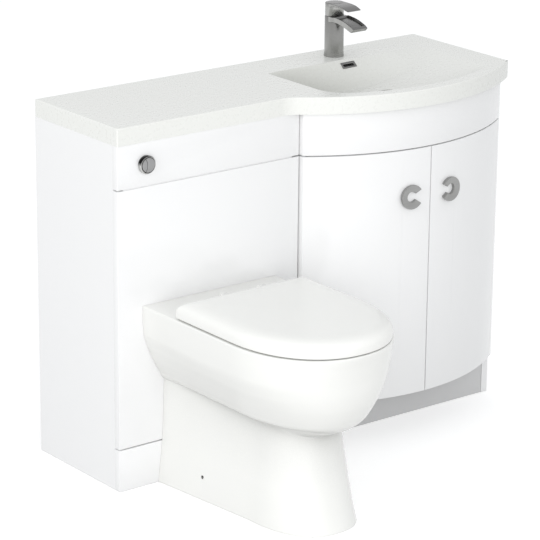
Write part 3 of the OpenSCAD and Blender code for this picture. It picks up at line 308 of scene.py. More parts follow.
def curve_through(xs, ys):
    """A smooth monotone curve through table values, as a function of x."""
    xs, ys = np.array(xs, float), np.array(ys, float)
    h, d = np.diff(xs), np.diff(ys) / np.diff(xs)
    m = np.zeros(len(xs))
    for k in range(1, len(xs) - 1):
        if d[k - 1] * d[k] > 0:
            w1, w2 = 2 * h[k] + h[k - 1], h[k] + 2 * h[k - 1]
            m[k] = (w1 + w2) / (w1 / d[k - 1] + w2 / d[k])
    m[0], m[-1] = d[0], d[-1]

    def at(x):
        x = np.clip(x, xs[0], xs[-1])
        k = np.clip(np.searchsorted(xs, x, "right") - 1, 0, len(h) - 1)
        t = (x - xs[k]) / h[k]
        return ((1 + 2 * t) * (1 - t) ** 2 * ys[k] + t * (1 - t) ** 2 * h[k] * m[k]
                + t * t * (3 - 2 * t) * ys[k + 1] + t * t * (t - 1) * h[k] * m[k + 1])

    return at


def curves_of(table):
    """A curve by height through each further column of a table."""
    heights, *columns = zip(*table)
    return [curve_through(heights, column) for column in columns]


def crowded(n):
    """Steps from 0 to 1 that lie closer together at both ends."""
    return (1 - np.cos(np.linspace(0, math.pi, n))) / 2


def soft_min(a, b, k):
    """The lesser of two values, with the change between them rounded."""
    h = np.maximum(k - abs(a - b), 0)
    return np.minimum(a, b) - h * h / (4 * k)


def d_loop(hw, back, front, corner_r, z):
    """A closed D-shaped loop about the pan's middle line, from the middle of its back round by
    its left side, its bow and its right side."""
    half = [((hw - corner_r) * t, -back) for t in np.linspace(0, 1, 14)[:-1]]
    for a in np.radians(np.linspace(90, 180, 11)[:-1]):
        half.append((hw - corner_r - corner_r * math.cos(a),
                     -back - corner_r + corner_r * math.sin(a)))
    for t in np.linspace(0, 1, 15)[:-1]:
        half.append((hw, -back - corner_r - (STRAIGHT - back - corner_r) * t))
    bow = []
    for a in np.radians(np.linspace(180, 360, 113)[:-1]):
        c, s = math.cos(a), abs(math.sin(a))
        bow.append((hw * math.copysign(abs(c) ** (2 / ROUND), c),
                    -STRAIGHT - (front - STRAIGHT) * s ** (2 / ROUND)))
    left = [(-x, y) for x, y in half]
    right = [(hw, -STRAIGHT)] + half[:0:-1]
    return at_height(np.array(left + bow + right) + (WC_X, 0), z)


def oval(ang, half, reach, y, z):
    """A slightly squared oval about the pan's middle line, at given angles."""
    co, si = np.cos(ang), np.sin(ang)
    return at_height(np.column_stack([WC_X + half * np.sign(co) * np.abs(co) ** 0.9,
                                      y + reach * np.sign(si) * np.abs(si) ** 0.9]), z)


# ---------------------------------------------------------------- materials

MIX_A, MIX_B, MIX_OUT = 6, 7, 2       # a mix node's colour inputs and colour output
FINER = 22                            # how much finer the noise of roughness and bump is
LOOKS = {"basin_plinth": "plinth", "pan_screws": "dark"}        # instead of their slots' own: painted shade, a grey plinth under the bowed cupboard and black screws in the pan's holes
FINISHES = {}
TAKEN = set()                         # CAD nodes that a finished piece stands for


def nodes(tree, *kinds):
    """New shader nodes of the given kinds."""
    return [tree.nodes.new("ShaderNode" + kind) for kind in kinds]


def wire(tree, *links):
    """Links, each from a node and its output to a node and its input."""
    for a, output, b, into in links:
        tree.links.new(a.outputs[output], b.inputs[into])


def preset(node, values):
    """Values set at some of a node's inputs."""
    for key, value in values.items():
        node.inputs[key].default_value = value


def variation_group():
    """Shared surface variation: a base colour that wanders between two tones, and a finer
    noise for roughness and bump."""
    if "Surface variation" in bpy.data.node_groups:
        return bpy.data.node_groups["Surface variation"]
    g = bpy.data.node_groups.new("Surface variation", "ShaderNodeTree")
    for name, kind, value in (("Tone A", "NodeSocketColor", (0.8, 0.8, 0.8, 1)),
                              ("Tone B", "NodeSocketColor", (0.8, 0.8, 0.8, 1)),
                              ("Scale", "NodeSocketFloat", 8.0),
                              ("Stretch", "NodeSocketVector", (1, 1, 1)),
                              ("Rough low", "NodeSocketFloat", 0.1),
                              ("Rough high", "NodeSocketFloat", 0.2),
                              ("Bump", "NodeSocketFloat", 0.02)):
        socket = g.interface.new_socket(name=name, in_out="INPUT", socket_type=kind)
        socket.default_value = value
    for name, kind in (("Color", "NodeSocketColor"), ("Roughness", "NodeSocketFloat"),
                       ("Normal", "NodeSocketVector")):
        g.interface.new_socket(name=name, in_out="OUTPUT", socket_type=kind)
    inp, out = g.nodes.new("NodeGroupInput"), g.nodes.new("NodeGroupOutput")
    coord, mapping, broad, fine, finer, tone, rough, bump = nodes(
        g, "TexCoord", "Mapping", "TexNoise", "TexNoise", "Math", "Mix", "MapRange", "Bump")
    finer.operation, tone.data_type = "MULTIPLY", "RGBA"
    preset(broad, {"Detail": 3})
    preset(fine, {"Detail": 5})
    preset(finer, {1: FINER})
    preset(bump, {"Distance": 0.001})
    wire(g, (coord, "Object", mapping, "Vector"), (inp, "Stretch", mapping, "Scale"),
         (mapping, "Vector", broad, "Vector"), (mapping, "Vector", fine, "Vector"),
         (inp, "Scale", broad, "Scale"), (inp, "Scale", finer, 0), (finer, 0, fine, "Scale"),
         (broad, "Fac", tone, "Factor"), (inp, "Tone A", tone, MIX_A),
         (inp, "Tone B", tone, MIX_B), (fine, "Fac", rough, "Value"),
         (inp, "Rough low", rough, "To Min"), (inp, "Rough high", rough, "To Max"),
         (fine, "Fac", bump, "Height"), (inp, "Bump", bump, "Strength"),
         (tone, MIX_OUT, out, "Color"), (rough, "Result", out, "Roughness"),
         (bump, "Normal", out, "Normal"))
    return g


def material(name, a, b, scale, rough, bump, stretch=(1, 1, 1), metallic=0.0, coat=0.0,
             hollow=0.0, deep=0.4, painted_reflection_top=0.0):
    """A finish between two tones. A hollow distance paints shade into the base colour in the
    piece's own hollows, down to a deep tone, and the last argument is the tone of a painted
    reflection on a metal's upward sides."""
    m = bpy.data.materials.new(name)
    m.use_nodes = True
    tree, shader = m.node_tree, m.node_tree.nodes["Principled BSDF"]
    node = tree.nodes.new("ShaderNodeGroup")
    node.node_tree = variation_group()
    preset(node, {"Tone A": (*a, 1), "Tone B": (*b, 1), "Scale": scale, "Stretch": stretch,
                  "Rough low": rough[0], "Rough high": rough[1], "Bump": bump})
    preset(shader, {"Metallic": metallic, "Coat Weight": coat, "Coat Roughness": 0.12})
    wire(tree, (node, "Color", shader, "Base Color"), (node, "Roughness", shader, "Roughness"),
         (node, "Normal", shader, "Normal"))
    if hollow or painted_reflection_top:
        mix = tree.nodes.new("ShaderNodeMix")
        mix.data_type = "RGBA"
        wire(tree, (node, "Color", mix, MIX_A), (mix, MIX_OUT, shader, "Base Color"))
    if hollow:
        # painted shade: the base colour is darkened in the piece's own hollows by its own
        # occlusion, which doesn't change with the pose
        near, less = nodes(tree, "AmbientOcclusion", "Math")
        near.only_local, near.samples, less.operation = True, 8, "SUBTRACT"
        mix.blend_type = "MULTIPLY"
        preset(near, {"Distance": hollow})
        preset(less, {0: 1.0})
        preset(mix, {MIX_B: (deep, deep, deep * 0.92, 1)})
        wire(tree, (near, "AO", less, 1), (less, 0, mix, "Factor"))
    if painted_reflection_top:
        # painted reflection: the metal's upper sides are painted dark and its lower sides pale
        surface, split, rise = nodes(tree, "NewGeometry", "SeparateXYZ", "MapRange")
        preset(rise, {"From Min": 0.0, "From Max": 0.35})
        preset(mix, {MIX_B: (painted_reflection_top, painted_reflection_top, painted_reflection_top, 1)})
        wire(tree, (surface, "Normal", split, 0), (split, "Z", rise, "Value"),
             (rise, "Result", mix, "Factor"))
    return m


def finishes():
    """Every finish of the unit, named after the record's slots, made once."""
    if FINISHES:
        return FINISHES
    s = bpy.context.scene.unit_finish
    w, g, c = s.worktop_tone, s.board_tone, s.china_tone

    def shade(tone, k):
        return tuple(x * k for x in tone)

    FINISHES.update({
        # painted shade: the bowl and other hollows of the worktop are darkened in its colour
        "worktop": material("Cast polymer", w, shade(w, 0.985), 5, (0.24, 0.32), 0.01,
                            hollow=0.3),
        # painted shade: the pan's hollows, such as the crease where its tub meets its foot, are
        # darkened in its colour
        "ceramic": material("Glazed china", c, shade(c, 0.985), 4, (0.17, 0.23), 0.004,
                            coat=0.15, hollow=0.15, deep=0.1),
        "seat_plastic": material("Seat plastic", c, shade(c, 0.99), 5, (0.2, 0.26), 0.004,
                                 coat=0.1),
        "gloss_board": material("Gloss board", g, shade(g, 0.99), 2.5, (0.08, 0.13), 0.004,
                                coat=0.4),
        "carcass": material("Melamine", shade(g, 0.93), shade(g, 0.9), 9, (0.4, 0.5), 0.03),
        # painted reflection: the chrome's upward sides are darker
        "chrome": material("Satin chrome", (0.5, 0.5, 0.485), (0.26, 0.26, 0.25), 45,
                           (0.2, 0.3), 0.004, stretch=(1, 1, 0.05), metallic=1.0, painted_reflection_top=0.17),
        "brushed": material("Brushed nickel", (0.36, 0.36, 0.35), (0.3, 0.3, 0.3), 60,
                            (0.32, 0.45), 0.05, stretch=(0.25, 1, 4), metallic=1.0),
        "steel": material("Plated steel", (0.62, 0.63, 0.65), (0.5, 0.5, 0.52), 30,
                          (0.25, 0.4), 0.03, metallic=1.0),
        "brass": material("Brass", (0.72, 0.52, 0.22), (0.6, 0.43, 0.18), 30, (0.25, 0.4), 0.03,
                          metallic=1.0),
        "white_plastic": material("White plastic", (0.8, 0.81, 0.82), (0.76, 0.77, 0.78), 12,
                                  (0.35, 0.45), 0.02),
        "grey_plastic": material("Grey plastic", (0.3, 0.31, 0.32), (0.26, 0.27, 0.28), 14,
                                 (0.4, 0.5), 0.03),
        # painted shade: the plinth under the bowed cupboard gets a grey that stands for the shade
        # there
        "plinth": material("Plinth painted shade", (0.62, 0.62, 0.62), (0.6, 0.6, 0.6), 3, (0.3, 0.4),
                           0.004),
        "rubber": material("Rubber", (0.02, 0.02, 0.02), (0.035, 0.035, 0.035), 20,
                           (0.6, 0.75), 0.06),
        "button": material("Button face", (0.36, 0.36, 0.36), (0.3, 0.3, 0.3), 40,
                           (0.25, 0.35), 0.01, metallic=1.0),
        # painted reflection: the ring's upward sides are near black
        "bezel": material("Button ring", (0.55, 0.55, 0.54), (0.5, 0.5, 0.49), 20,
                          (0.1, 0.16), 0.004, metallic=1.0, painted_reflection_top=0.012),
        # painted shade: near black for gaps and holes, where there is only shade
        "dark": material("Painted gap shade", (0.012, 0.012, 0.013), (0.02, 0.02, 0.02), 20, (0.3, 0.4),
                         0.02),
    })
    return FINISHES


def dress(obj, slot, body, *nodes, look=None):
    """Material, record slot, body and the CAD nodes that a finished piece stands for."""
    obj.data.materials.clear()
    obj.data.materials.append(finishes()[look or slot])
    if nodes:
        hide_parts(*nodes)
        TAKEN.update(nodes)
    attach(obj, body)


# ---------------------------------------------------------------- worktop and basin

def at_overflow(p):
    """The overflow's own frame: local Z stands out of the sloping back of the bowl."""
    p, tilt = np.asarray(p, float), math.radians(OVERFLOW_TILT)
    c, s = math.cos(tilt), math.sin(tilt)
    turned = [p[:, 0], p[:, 1] * c - p[:, 2] * s, p[:, 1] * s + p[:, 2] * c]
    return np.column_stack(turned) + np.array(OVERFLOW)


def lip_front(x):
    """The worktop's front edge at x: straight, a hollow corner, then the bow."""
    hollow, flat = 70.0, -(FRONT + 1)
    hy = flat - hollow
    hx = LIP_CX - math.sqrt((LIP_R + hollow) ** 2 - (BOW_CY - hy) ** 2)
    meet = hx + hollow * (LIP_CX - hx) / (LIP_R + hollow)
    if x < hx:
        return flat
    if x < meet:
        return hy + math.sqrt(max(0, hollow ** 2 - (x - hx) ** 2))
    return BOW_CY - math.sqrt(LIP_R ** 2 - (x - LIP_CX) ** 2)


def rim_front(x):
    """The bowl's front rim at x, with its two rounded corners."""
    for edge, r, side in ((BOWL_X0, 85.0, 1), (BOWL_X1, 25.0, -1)):
        cx = edge + side * r
        meet = LIP_CX + (cx - LIP_CX) * BOWL_R / (BOWL_R - r)
        if (x - meet) * side < 0:
            cy = BOW_CY - math.sqrt((BOWL_R - r) ** 2 - (cx - LIP_CX) ** 2)
            return cy - math.sqrt(max(0.0, r * r - (min(max(x, BOWL_X0), BOWL_X1) - cx) ** 2))
    return BOW_CY - math.sqrt(BOWL_R ** 2 - (x - LIP_CX) ** 2)


def bowl_depth(x, y, front):
    """How far the bowl lies below the worktop: a ramp from the right, a scoop from the back
    and left, the two meeting in a valley, and a steep front wall."""
    ramp_w = 0.75 * (BOWL_X1 - BOWL_X0)
    ramp = BOWL_D * (1 - (1 - np.minimum(1, (BOWL_X1 - x) / ramp_w)) ** 1.5)
    scoop = (-BOWL_BACK - y) * np.exp((BOWL_X0 + 228 - x) / 150)
    left = (x - BOWL_X0) * 0.7
    d = soft_min(np.minimum(ramp, soft_min(scoop, left, 30)), (y - front) * 1.6, 10)
    d = np.maximum(d, 0)
    return d * d / (d + 2.0)


class UNIT_OT_worktop(bpy.types.Operator):
    """Model the one-piece worktop with its basin"""
    bl_idname = "unit.worktop"
    bl_label = "Worktop and basin"

    def execute(self, context):
        xs = np.concatenate([np.linspace(-WC_W, -60, 24)[:-1], np.linspace(-60, 20, 21)[:-1],
                             np.linspace(20, BOWL_X0, 9)[:-1],
                             BOWL_X0 + (BOWL_X1 - BOWL_X0) * crowded(141),
                             np.linspace(BOWL_X1, END_X, 13)[1:]])
        behind, across = np.linspace(0, -BOWL_BACK, 9)[:-1], crowded(91)
        rings = []
        for x in xs:
            rim, lip = rim_front(x), lip_front(x)
            middle = -BOWL_BACK + across * (rim + BOWL_BACK)
            before = rim + (lip - rim) * np.linspace(0, 1, 7)[1:]
            ys = np.concatenate([behind, middle, before])
            zs = np.full(len(ys), TOP)
            if BOWL_X0 < x < BOWL_X1:
                zs[len(behind):-len(before)] -= bowl_depth(x, middle, rim)
            rings.append(np.column_stack([np.full(len(ys), x), ys, zs]))
        obj = skin("worktop", rings, closed=False)
        # the skirt: the boundary goes down, then the whole tray gets its thickness inwards
        select_edges(obj, lambda a, b, e: e.is_boundary)
        bpy.ops.mesh.extrude_region_move(
            TRANSFORM_OT_translate={"value": (0, 0, -(TOP - CARCASS) / MM)})
        done(obj, 60)
        apply_modifier(obj, "SOLIDIFY", thickness=TRAY / MM, offset=-1.0, use_even_offset=False)

        def outer_edge(a, b, e):
            at_end = min(abs(a.x + WC_W), abs(a.x - END_X)) < 0.1 and abs(a.x - b.x) < 0.1
            return e.calc_face_angle(0) > 1.2 and (
                min(a.z, b.z) > TOP - 0.05 or (abs(a.z - b.z) > 20 and at_end))

        select_edges(obj, outer_edge)
        ease = context.scene.unit_finish.edge_ease
        bpy.ops.mesh.bevel(offset=ease, segments=4, profile=0.5)
        done(obj, 30)
        # seats and holes of the waste, the tap and the overflow
        x, y, z = WASTE
        merge(obj, done(cylinder("boss", (x, y, z - 21), 37, 22)))
        bore(obj, [((x, y, z - 40), 22, 60, "Z"), ((x, y, z), 34, 90, "Z"),
                   ((LIP_CX, -TAP_Y, CARCASS), TAP_HOLE, 60, "Z")], 64)
        for w, h, low, high in ((20.9, 8.9, 0, 12), (17.5, 5.5, -16, 3)):
            subtract(obj, prism("recess", oblong(w, h), at_overflow, low, high, 0))
        done(obj, 30)
        dress(obj, "worktop", "unit", "basin_top")
        return {"FINISHED"}


class UNIT_OT_overflow(bpy.types.Operator):
    """Model the overflow's frame in the back slope of the bowl"""
    bl_idname = "unit.overflow"
    bl_label = "Overflow"

    def execute(self, context):
        def frame(inset, z, r):
            hw, hh = 20.5 - inset - r, 8.5 - inset - r
            pts = []
            for cx, cy, a0 in ((hw, hh, 0), (-hw, hh, 90), (-hw, -hh, 180), (hw, -hh, 270)):
                for a in np.radians(np.linspace(a0, a0 + 90, 7)):
                    pts.append((cx + r * math.cos(a), cy + r * math.sin(a), z))
            return at_overflow(pts)

        rings = [frame(3.5, -7, 1), frame(3.5, 0.2, 1), frame(0.4, 0.2, 2), frame(0, 0.6, 2.2),
                 frame(0, 1.4, 2.2), frame(0.6, 2, 1.8), frame(3.8, 2, 1.2), frame(4.4, 1.6, 1.0),
                 frame(5, 0.8, 0.8), frame(5, -5, 0.8), frame(8, -5, 0.2)]
        trim = done(skin("overflow_frame", rings, capped=True))
        dress(trim, "chrome", "unit", "overflow_trim")
        # painted shade: a black sheet and bars stand for the shade inside the overflow's opening
        dark = [prism("overflow_painted_shade", oblong(15.2, 3.2), at_overflow, -4.9, -4.2, 0.2)]
        for x in (-12, -6, 0, 6, 12):
            dark.append(prism("bar", oblong(0.6, 3.4, x), at_overflow, -4.9, -2.5, 0.2))
        dress(done(join(dark, "overflow_painted_shade")), "rubber", "unit", look="dark")
        return {"FINISHED"}


# ---------------------------------------------------------------- tap

# heights of the edges of the spout and the lever, by distance in front of the tap's axis
spout_top = curve_through([-4, 20, 26, 48, 66, 80, 90, 97.2],
                          [938, 938, 939.4, 937.6, 934.3, 930, 926.3, 921.6])
spout_low = curve_through([-4, 6, 29, 45, 66, 78, 89, 97.2],
                          [924, 924.3, 926.8, 925, 920.4, 916.3, 913.8, 920.7])
lever_top = curve_through([-23, 3, 33, 50, 63, 72, 74],
                          [968.9, 969.6, 969.4, 968.1, 965.1, 961.8, 960.9])
lever_low = curve_through([-2, 5, 15, 26, 41, 50, 63, 74],
                          [959, 959.9, 962.6, 964.6, 965.6, 964.9, 961.9, 959.9])


def across_tap(d, profile):
    """A profile of sideways place and height, at a distance in front of the tap's axis."""
    return [(LIP_CX + x, -TAP_Y - d, z) for x, z in profile]


def spout():
    """The spout: a trough in section, closed at its tip."""
    rings = []
    for d in np.concatenate([[-4.0, 4, 12], np.linspace(20, 28, 5), np.linspace(31, 85, 24),
                             [87, 88, 89, 90, 92, 94, 96, 96.9, 97.2]]):
        top, low = float(spout_top(d)), float(spout_low(d))
        deep = 5.0 * np.clip((90 - d) / 2.0, 0.02, 1) if d > 24 else 0.1
        half = HEAD_R - 0.4 * np.clip(d / 90, 0, 1) - max(0, d - 96) * 0.3
        rim = half - 2.2
        ease = min(1.0, (top - low) / 3)
        left = [(-half + ease, low), (-half, low + ease), (-half, top - 0.6 * ease),
                (-half + 0.6, top), (-rim - 0.4, top), (-rim, top - min(deep, 0.4)),
                (-rim + 0.4, top - deep)]
        right = [(-x, z) for x, z in reversed(left)]
        rings.append(across_tap(d, left + [(0, top - deep)] + right))
    obj = done(skin("spout", rings, capped=True), 40)
    bore(obj, [((LIP_CX, -TAP_Y, 900), TAP_BORE, 50, "Z")], 96)
    return done(obj, 40)


def lever_hub():
    """The lever's round hub: the arch is its top, and its underside rises at the back."""
    a = np.linspace(0, 2 * math.pi, 97)[:-1]

    def ring(part, drop=0.0, level=None):
        r = HEAD_R * part
        d = np.cos(a) * r
        z = lever_top(d) - drop if level is None else level + np.clip((-d - 8) / 15, 0, 1) * 9
        return np.column_stack([LIP_CX + np.sin(a) * r, -TAP_Y - d, z])

    rings = [ring(0.02, level=938.8), ring(0.9, level=938.8), ring(0.975, level=938.8),
             ring(1, level=939.5), ring(1, 1.4), ring(0.985, 0.4), ring(0.95), ring(0.6),
             ring(0.3), ring(0.02)]
    return done(skin("hub", rings, capped=True), 40)


def lever_blade():
    """The lever's arched blade, thinner and narrower towards its tip."""
    rings = []
    for d in np.concatenate([np.linspace(-2, 71, 30), [72.4, 73.4, 74]]):
        top = float(lever_top(d)) - 0.12
        low = top - max(0.8, top - float(lever_low(d)))
        tip = max(0.0, d - 71)
        half = 22 - 1.5 * (max(d, 0) / 74) ** 2 - tip * tip * 0.3
        ease = min(0.9, (top - low) / 3)
        rings.append(across_tap(d, [
            (-half + ease, low), (-half, low + ease), (-half, top - ease), (-half + ease, top),
            (0, top), (half - ease, top), (half, top - ease), (half, low + ease),
            (half - ease, low), (0, low)]))
    return done(skin("blade", rings, capped=True), 40)


class UNIT_OT_tap(bpy.types.Operator):
    """Model the mixer tap: body, open spout and lever"""
    bl_idname = "unit.tap"
    bl_label = "Tap"

    def execute(self, context):
        body = lathe("tap", [(0, 880), (15, 880), (15, TOP), (23.4, TOP), (24, TOP + 0.5),
                             (24, TOP + 2), (23.4, TOP + 6), (23, TOP + 14), (23, 936.4),
                             (22.6, 937.2), (21.8, 937.5), (TAP_BORE, 937.5), (TAP_BORE, 886),
                             (0, 886)],
                     lambda p: p + np.array([LIP_CX, -TAP_Y, 0.0]), 96)
        body = join([done(body, 40), spout()], "tap_body_shell")
        dress(body, "chrome", "unit", "tap_body")
        # the lever, with the cheeks and the pin that it tilts on
        hub, blade = lever_hub(), lever_blade()
        bore(hub, [((LIP_CX, -TAP_Y, TAP_TOP), 16.5, 20, "Z")], 64)
        parts = [hub, blade]
        for side in (-1, 1):
            x = LIP_CX + side * 7
            parts.append(slab("cheek", (x - 3, -TAP_Y + 4, TAP_TOP + 6.5),
                              (x + 3, -TAP_Y + 14, TAP_TOP + 20.5), 0.4))
        parts.append(cylinder("pin", (LIP_CX - 10, -TAP_Y + 11, 945), 2.5, 20, "X", 32, 0.3))
        lever = done(join(parts, "tap_lever_shell"), 40)
        dress(lever, "chrome", "tap_lever_body", "tap_lever")
        # painted shade: a black disc stands for the shadow gap at the front of the lever's hub
        shade_disc = cylinder("tap_lever_shade_disc", (LIP_CX - 4, -TAP_Y - 22.9, 944.4), 4.6, 5.5, "Y", 48,
                        0.4)
        dress(done(shade_disc, 40), "rubber", "tap_lever_body", look="dark")
        return {"FINISHED"}


# ---------------------------------------------------------------- pan

# height, inset of the sides and inset of the front, for the tub and for the foot, whose third
# inset is that of the sides near its front
TUB = [(180, 118, 210), (202, 103, 160), (216, 98, 112), (228, 96, 84), (236, 94, 70),
       (240, 89, 63), (243, 79, 59.5), (246, 67, 56.5), (249, 59, 53.5), (254, 52, 49),
       (268, 43, 40), (282, 35, 33), (305, 23, 24), (332, 11, 18), (364, 2, 14), (402, 0, 7),
       (415, 0, 4), (422, 0, 2.5), (428, 0, 2)]
FOOT = [(0, -3, 0, 1), (13, -2, 5, 2), (43, 1, 16, 5), (86, 6, 27, 9.5), (110, 8, 32, 12.5),
        (146, 10, 39, 17), (201, 11.5, 49, 23), (257, 13, 62, 28)]
# height of the bowl, its half width, and how far its back and front are from the pan's front
BOWL = [(212, 20, 216, 184), (227, 34, 232, 168), (257, 52, 258, 140), (300, 80, 292, 96),
        (364, 110, 322, 55), (400, 120, 331, 42), (420, 124, 336, 36), (428, 126, 338, 34)]
# where the deck's lines run to, behind the pan's front; the bowl's floor; the rounding of its lip
BOWL_AT, BOWL_FLOOR, LIP_ROUND = 186.0, 208.0, 8.0
# half widths of the foot, at its back and front, and of the tub
FOOT_HW, FOOT_FRONT_HW, HIP = 141.0, 114.0, 185.0
# where the foot's front begins to round, how squarely it does, and its toe
FOOT_STRAIGHT, FOOT_ROUND, TOE = 620.0, 2.35, 790.0
# wall and back flanges of the foot, and the height of its hollow's form as a part of its own
PAN_WALL, FLANGE, HOLLOW = 16.0, 9.0, 0.68
SPIGOT_R, SOIL_R, FLUSH_R, JET_R = 51.0, 43.0, 27.0, 12.0


def d_reach(c, s, hw, fore, straight, front, p, back):
    """Distance from the middle of a D-shaped outline's back to its edge, along a direction;
    the outline tapers from hw at the back to fore where its front begins to round."""
    low, high = np.zeros_like(c), np.full_like(c, 900.0)
    for _ in range(40):
        mid = (low + high) / 2
        x, y = np.abs(mid * c), mid * s + FRONT + back
        half = hw + (fore - hw) * np.clip((y - FRONT) / (straight - FRONT), 0, 1)
        over = np.clip((y - straight) / (front - straight), 0, 1)
        out = (over >= 1) | (x > half * (1 - over ** p) ** (1 / p))
        high, low = np.where(out, mid, high), np.where(out, low, mid)
    return (low + high) / 2


def bowl_rings(rim):
    """The pan's surface from its outer rim over the deck, the rounded lip and down the bowl."""
    bowl_half, bowl_back, bowl_front = curves_of(BOWL)
    ang = np.arctan2(rim[:, 1] + PAN_FRONT - BOWL_AT, rim[:, 0] - WC_X)

    def bowl(z, grow=0.0):
        back, fore = bowl_back(z) + grow, bowl_front(z) - grow
        return oval(ang, bowl_half(z) + grow, (back - fore) / 2,
                    -PAN_FRONT + (back + fore) / 2, z)

    lip = bowl(RIM_Z, LIP_ROUND)
    rings = [rim * (1 - t) + lip * t for t in (0.25, 0.5, 0.75)]
    for t in np.radians(np.linspace(0, 80, 6)):
        rings.append(bowl(RIM_Z - LIP_ROUND * (1 - math.cos(t)), LIP_ROUND * (1 - math.sin(t))))
    rings += [bowl(z) for z in np.linspace(416, 212, 34)]
    last = rings[-1]
    bottom = np.array([*last.mean(0)[:2], BOWL_FLOOR])
    return rings + [last * (1 - t) + bottom * t for t in (0.4, 0.8)]


def pan_rings():
    """The pan's surface, from the top of the hollow in its foot, down, round the bottom edge, up
    the outside, over the rim and down into the bowl."""
    tub_side, tub_front = curves_of(TUB)
    foot_side, foot_front, foot_fore = curves_of(FOOT)
    a = math.pi * (1 + (np.arange(161) / 160))
    c, s = np.cos(a), -np.sin(a)
    edge, blend = 3.5, 6.0 + 12.0 * c * c
    rear = np.linspace(1, -1, 15)[1:-1]

    def foot(z, inset=0.0, back=0.5):
        return d_reach(c, s, FOOT_HW - foot_side(z) - inset, FOOT_FRONT_HW - foot_fore(z) - inset,
                       FOOT_STRAIGHT, TOE - foot_front(z) - inset, FOOT_ROUND, back)

    def tub(z, inset=0.0):
        hip = HIP - tub_side(z) - inset
        return d_reach(c, s, hip, hip, STRAIGHT - 0.6 * tub_side(z),
                       PAN_FRONT - tub_front(z) - inset, ROUND, 0.5)

    def closed(r, z, back=0.5):
        side = np.column_stack([WC_X + r * c, -FRONT - back - r * s])
        wall = np.column_stack([WC_X + r[-1] * rear, np.full(len(rear), -FRONT - back)])
        return at_height(np.vstack([side, wall]), z)

    def outside(z):
        if z > 262:
            return tub(z)
        f = foot(min(z, 257.0))
        if z < 181:
            return f
        t = tub(z)
        h = np.maximum(blend - np.abs(t - f), 0)
        return np.maximum(t, f) + h * h / (4 * blend)

    rings = [closed(foot(z / HOLLOW, PAN_WALL, FLANGE), z, FLANGE)
             for z in np.linspace(173, 0, 30)]
    rings += [closed(foot(0, 1.5, 2.0), 0, 2.0), closed(foot(0, 0.4, 0.9), 0.4, 0.9)]
    heights = np.concatenate([np.linspace(1.5, 180, 37)[:-1], np.linspace(180, 270, 61)[:-1],
                              np.linspace(270, RIM_Z - edge, 61)])
    rings += [closed(outside(z), z) for z in heights]
    for t in np.radians(np.linspace(0, 90, 7)[1:]):
        rings.append(closed(tub(RIM_Z, edge * (1 - math.cos(t))),
                            RIM_Z - edge * (1 - math.sin(t))))
    return rings + bowl_rings(rings[-1])


class UNIT_OT_pan(bpy.types.Operator):
    """Model the floor-standing pan: its hollow foot, tub, rim and bowl, with its pipe ends"""
    bl_idname = "unit.pan"
    bl_label = "Pan"

    def execute(self, context):
        obj = done(skin("pan", pan_rings(), capped=True), 50)
        # open back of the foot, soil spigot, soil and flush ways, and bolt and screw holes
        cut(obj, (WC_X - 78, -FRONT - 40.5, -1), (WC_X + 78, -FRONT + 0.5, SOIL_Z + 62))
        merge(obj, done(cylinder("spigot", (WC_X, -FRONT - 160, SOIL_Z), SPIGOT_R, 200, "Y",
                                 96, 1.5)))
        bore(obj, [((WC_X, -FRONT - 150, SOIL_Z), SOIL_R, 191, "Y"),
                   ((WC_X, -FRONT - 60, INLET_Z), FLUSH_R, 61, "Y"),
                   ((WC_X, 260 - PAN_FRONT, INLET_Z), JET_R, PAN_FRONT - 259 - FRONT, "Y")], 64)
        for side in (-1, 1):
            bore(obj, [((WC_X + side * POST_X, -HINGE_Y, 388), 4.3, 50, "Z"),
                       ((WC_X + side * 128 - 30, -SCREW_Y, SCREW_Z), 4.2, 60, "X")])
        done(obj, 50)
        dress(obj, "ceramic", "unit", "pan")
        return {"FINISHED"}


# ---------------------------------------------------------------- seat and lid

def lid_shell():
    """The lid: its crown, round shoulder, side and hollow underside."""
    def outline(inset, z):
        return d_loop(LID_HW - inset, LID_BACK + inset * 0.8, LID_FRONT - inset,
                      6.0 + 0.25 * inset, z)

    shoulder = [(46, 0), (36, 0.6), (27, 1.7), (20, 3.1), (14, 5.0), (9.5, 7.2), (6, 9.8),
                (3.4, 12.8), (1.6, 16), (0.5, 19.5), (0, 23)]
    first, middle = outline(shoulder[0][0], LID_TOP), np.array([WC_X, -650.0, LID_TOP])
    rings = []
    for t in np.linspace(0, 1, 12)[:-1]:
        ring = middle * (1 - t) + first * t
        ring[:, 2] = LID_TOP + LID_CROWN * (1 - t * t)
        rings.append(ring)
    rings += [outline(inset, LID_TOP - drop) for inset, drop in shoulder]
    rings += [outline(inset, z) for inset, z in (
        (0, 436), (0, LID_LOW + 1.2), (0.4, LID_LOW + 0.4), (1.2, LID_LOW),
        (LID_WALL - 0.6, LID_LOW), (LID_WALL, LID_LOW + 0.8), (LID_WALL, 450),
        (LID_WALL + 3, 455), (LID_WALL + 8, 459), (LID_WALL + 22, 462))]
    last, under = rings[-1], np.array([WC_X, -650.0, 462.5])
    rings += [last * (1 - t) + under * t for t in np.linspace(0, 1, 6)[1:]]
    return done(skin("lid_shell", rings), 60)


def seat_ring():
    """The seat: a D-shaped outline and an oval hole, joined by a rounded section."""
    outer = d_loop(LID_HW - 9, HINGE_Y + 22, 852.0, 20, 0)
    inner = oval(np.arctan2(outer[:, 1] - SEAT_Y, outer[:, 0] - WC_X), 108, 135, SEAT_Y, 0)
    section = [(0.0, 4), (0.0, 9), (0.03, 12.5), (0.09, 14.4), (0.2, 15), (0.5, 14.6),
               (0.78, 13.2), (0.92, 10.8), (0.985, 7.5), (1.0, 4), (0.985, 1.2), (0.95, 0.2),
               (0.5, 0.0), (0.05, 0.0), (0.015, 1.0)]
    rings = []
    for t, up in section:
        ring = outer * (1 - t) + inner * t
        ring[:, 2] = SEAT_LOW + up
        rings.append(ring)
    return done(skin("seat_ring", rings, loop=True), 60)


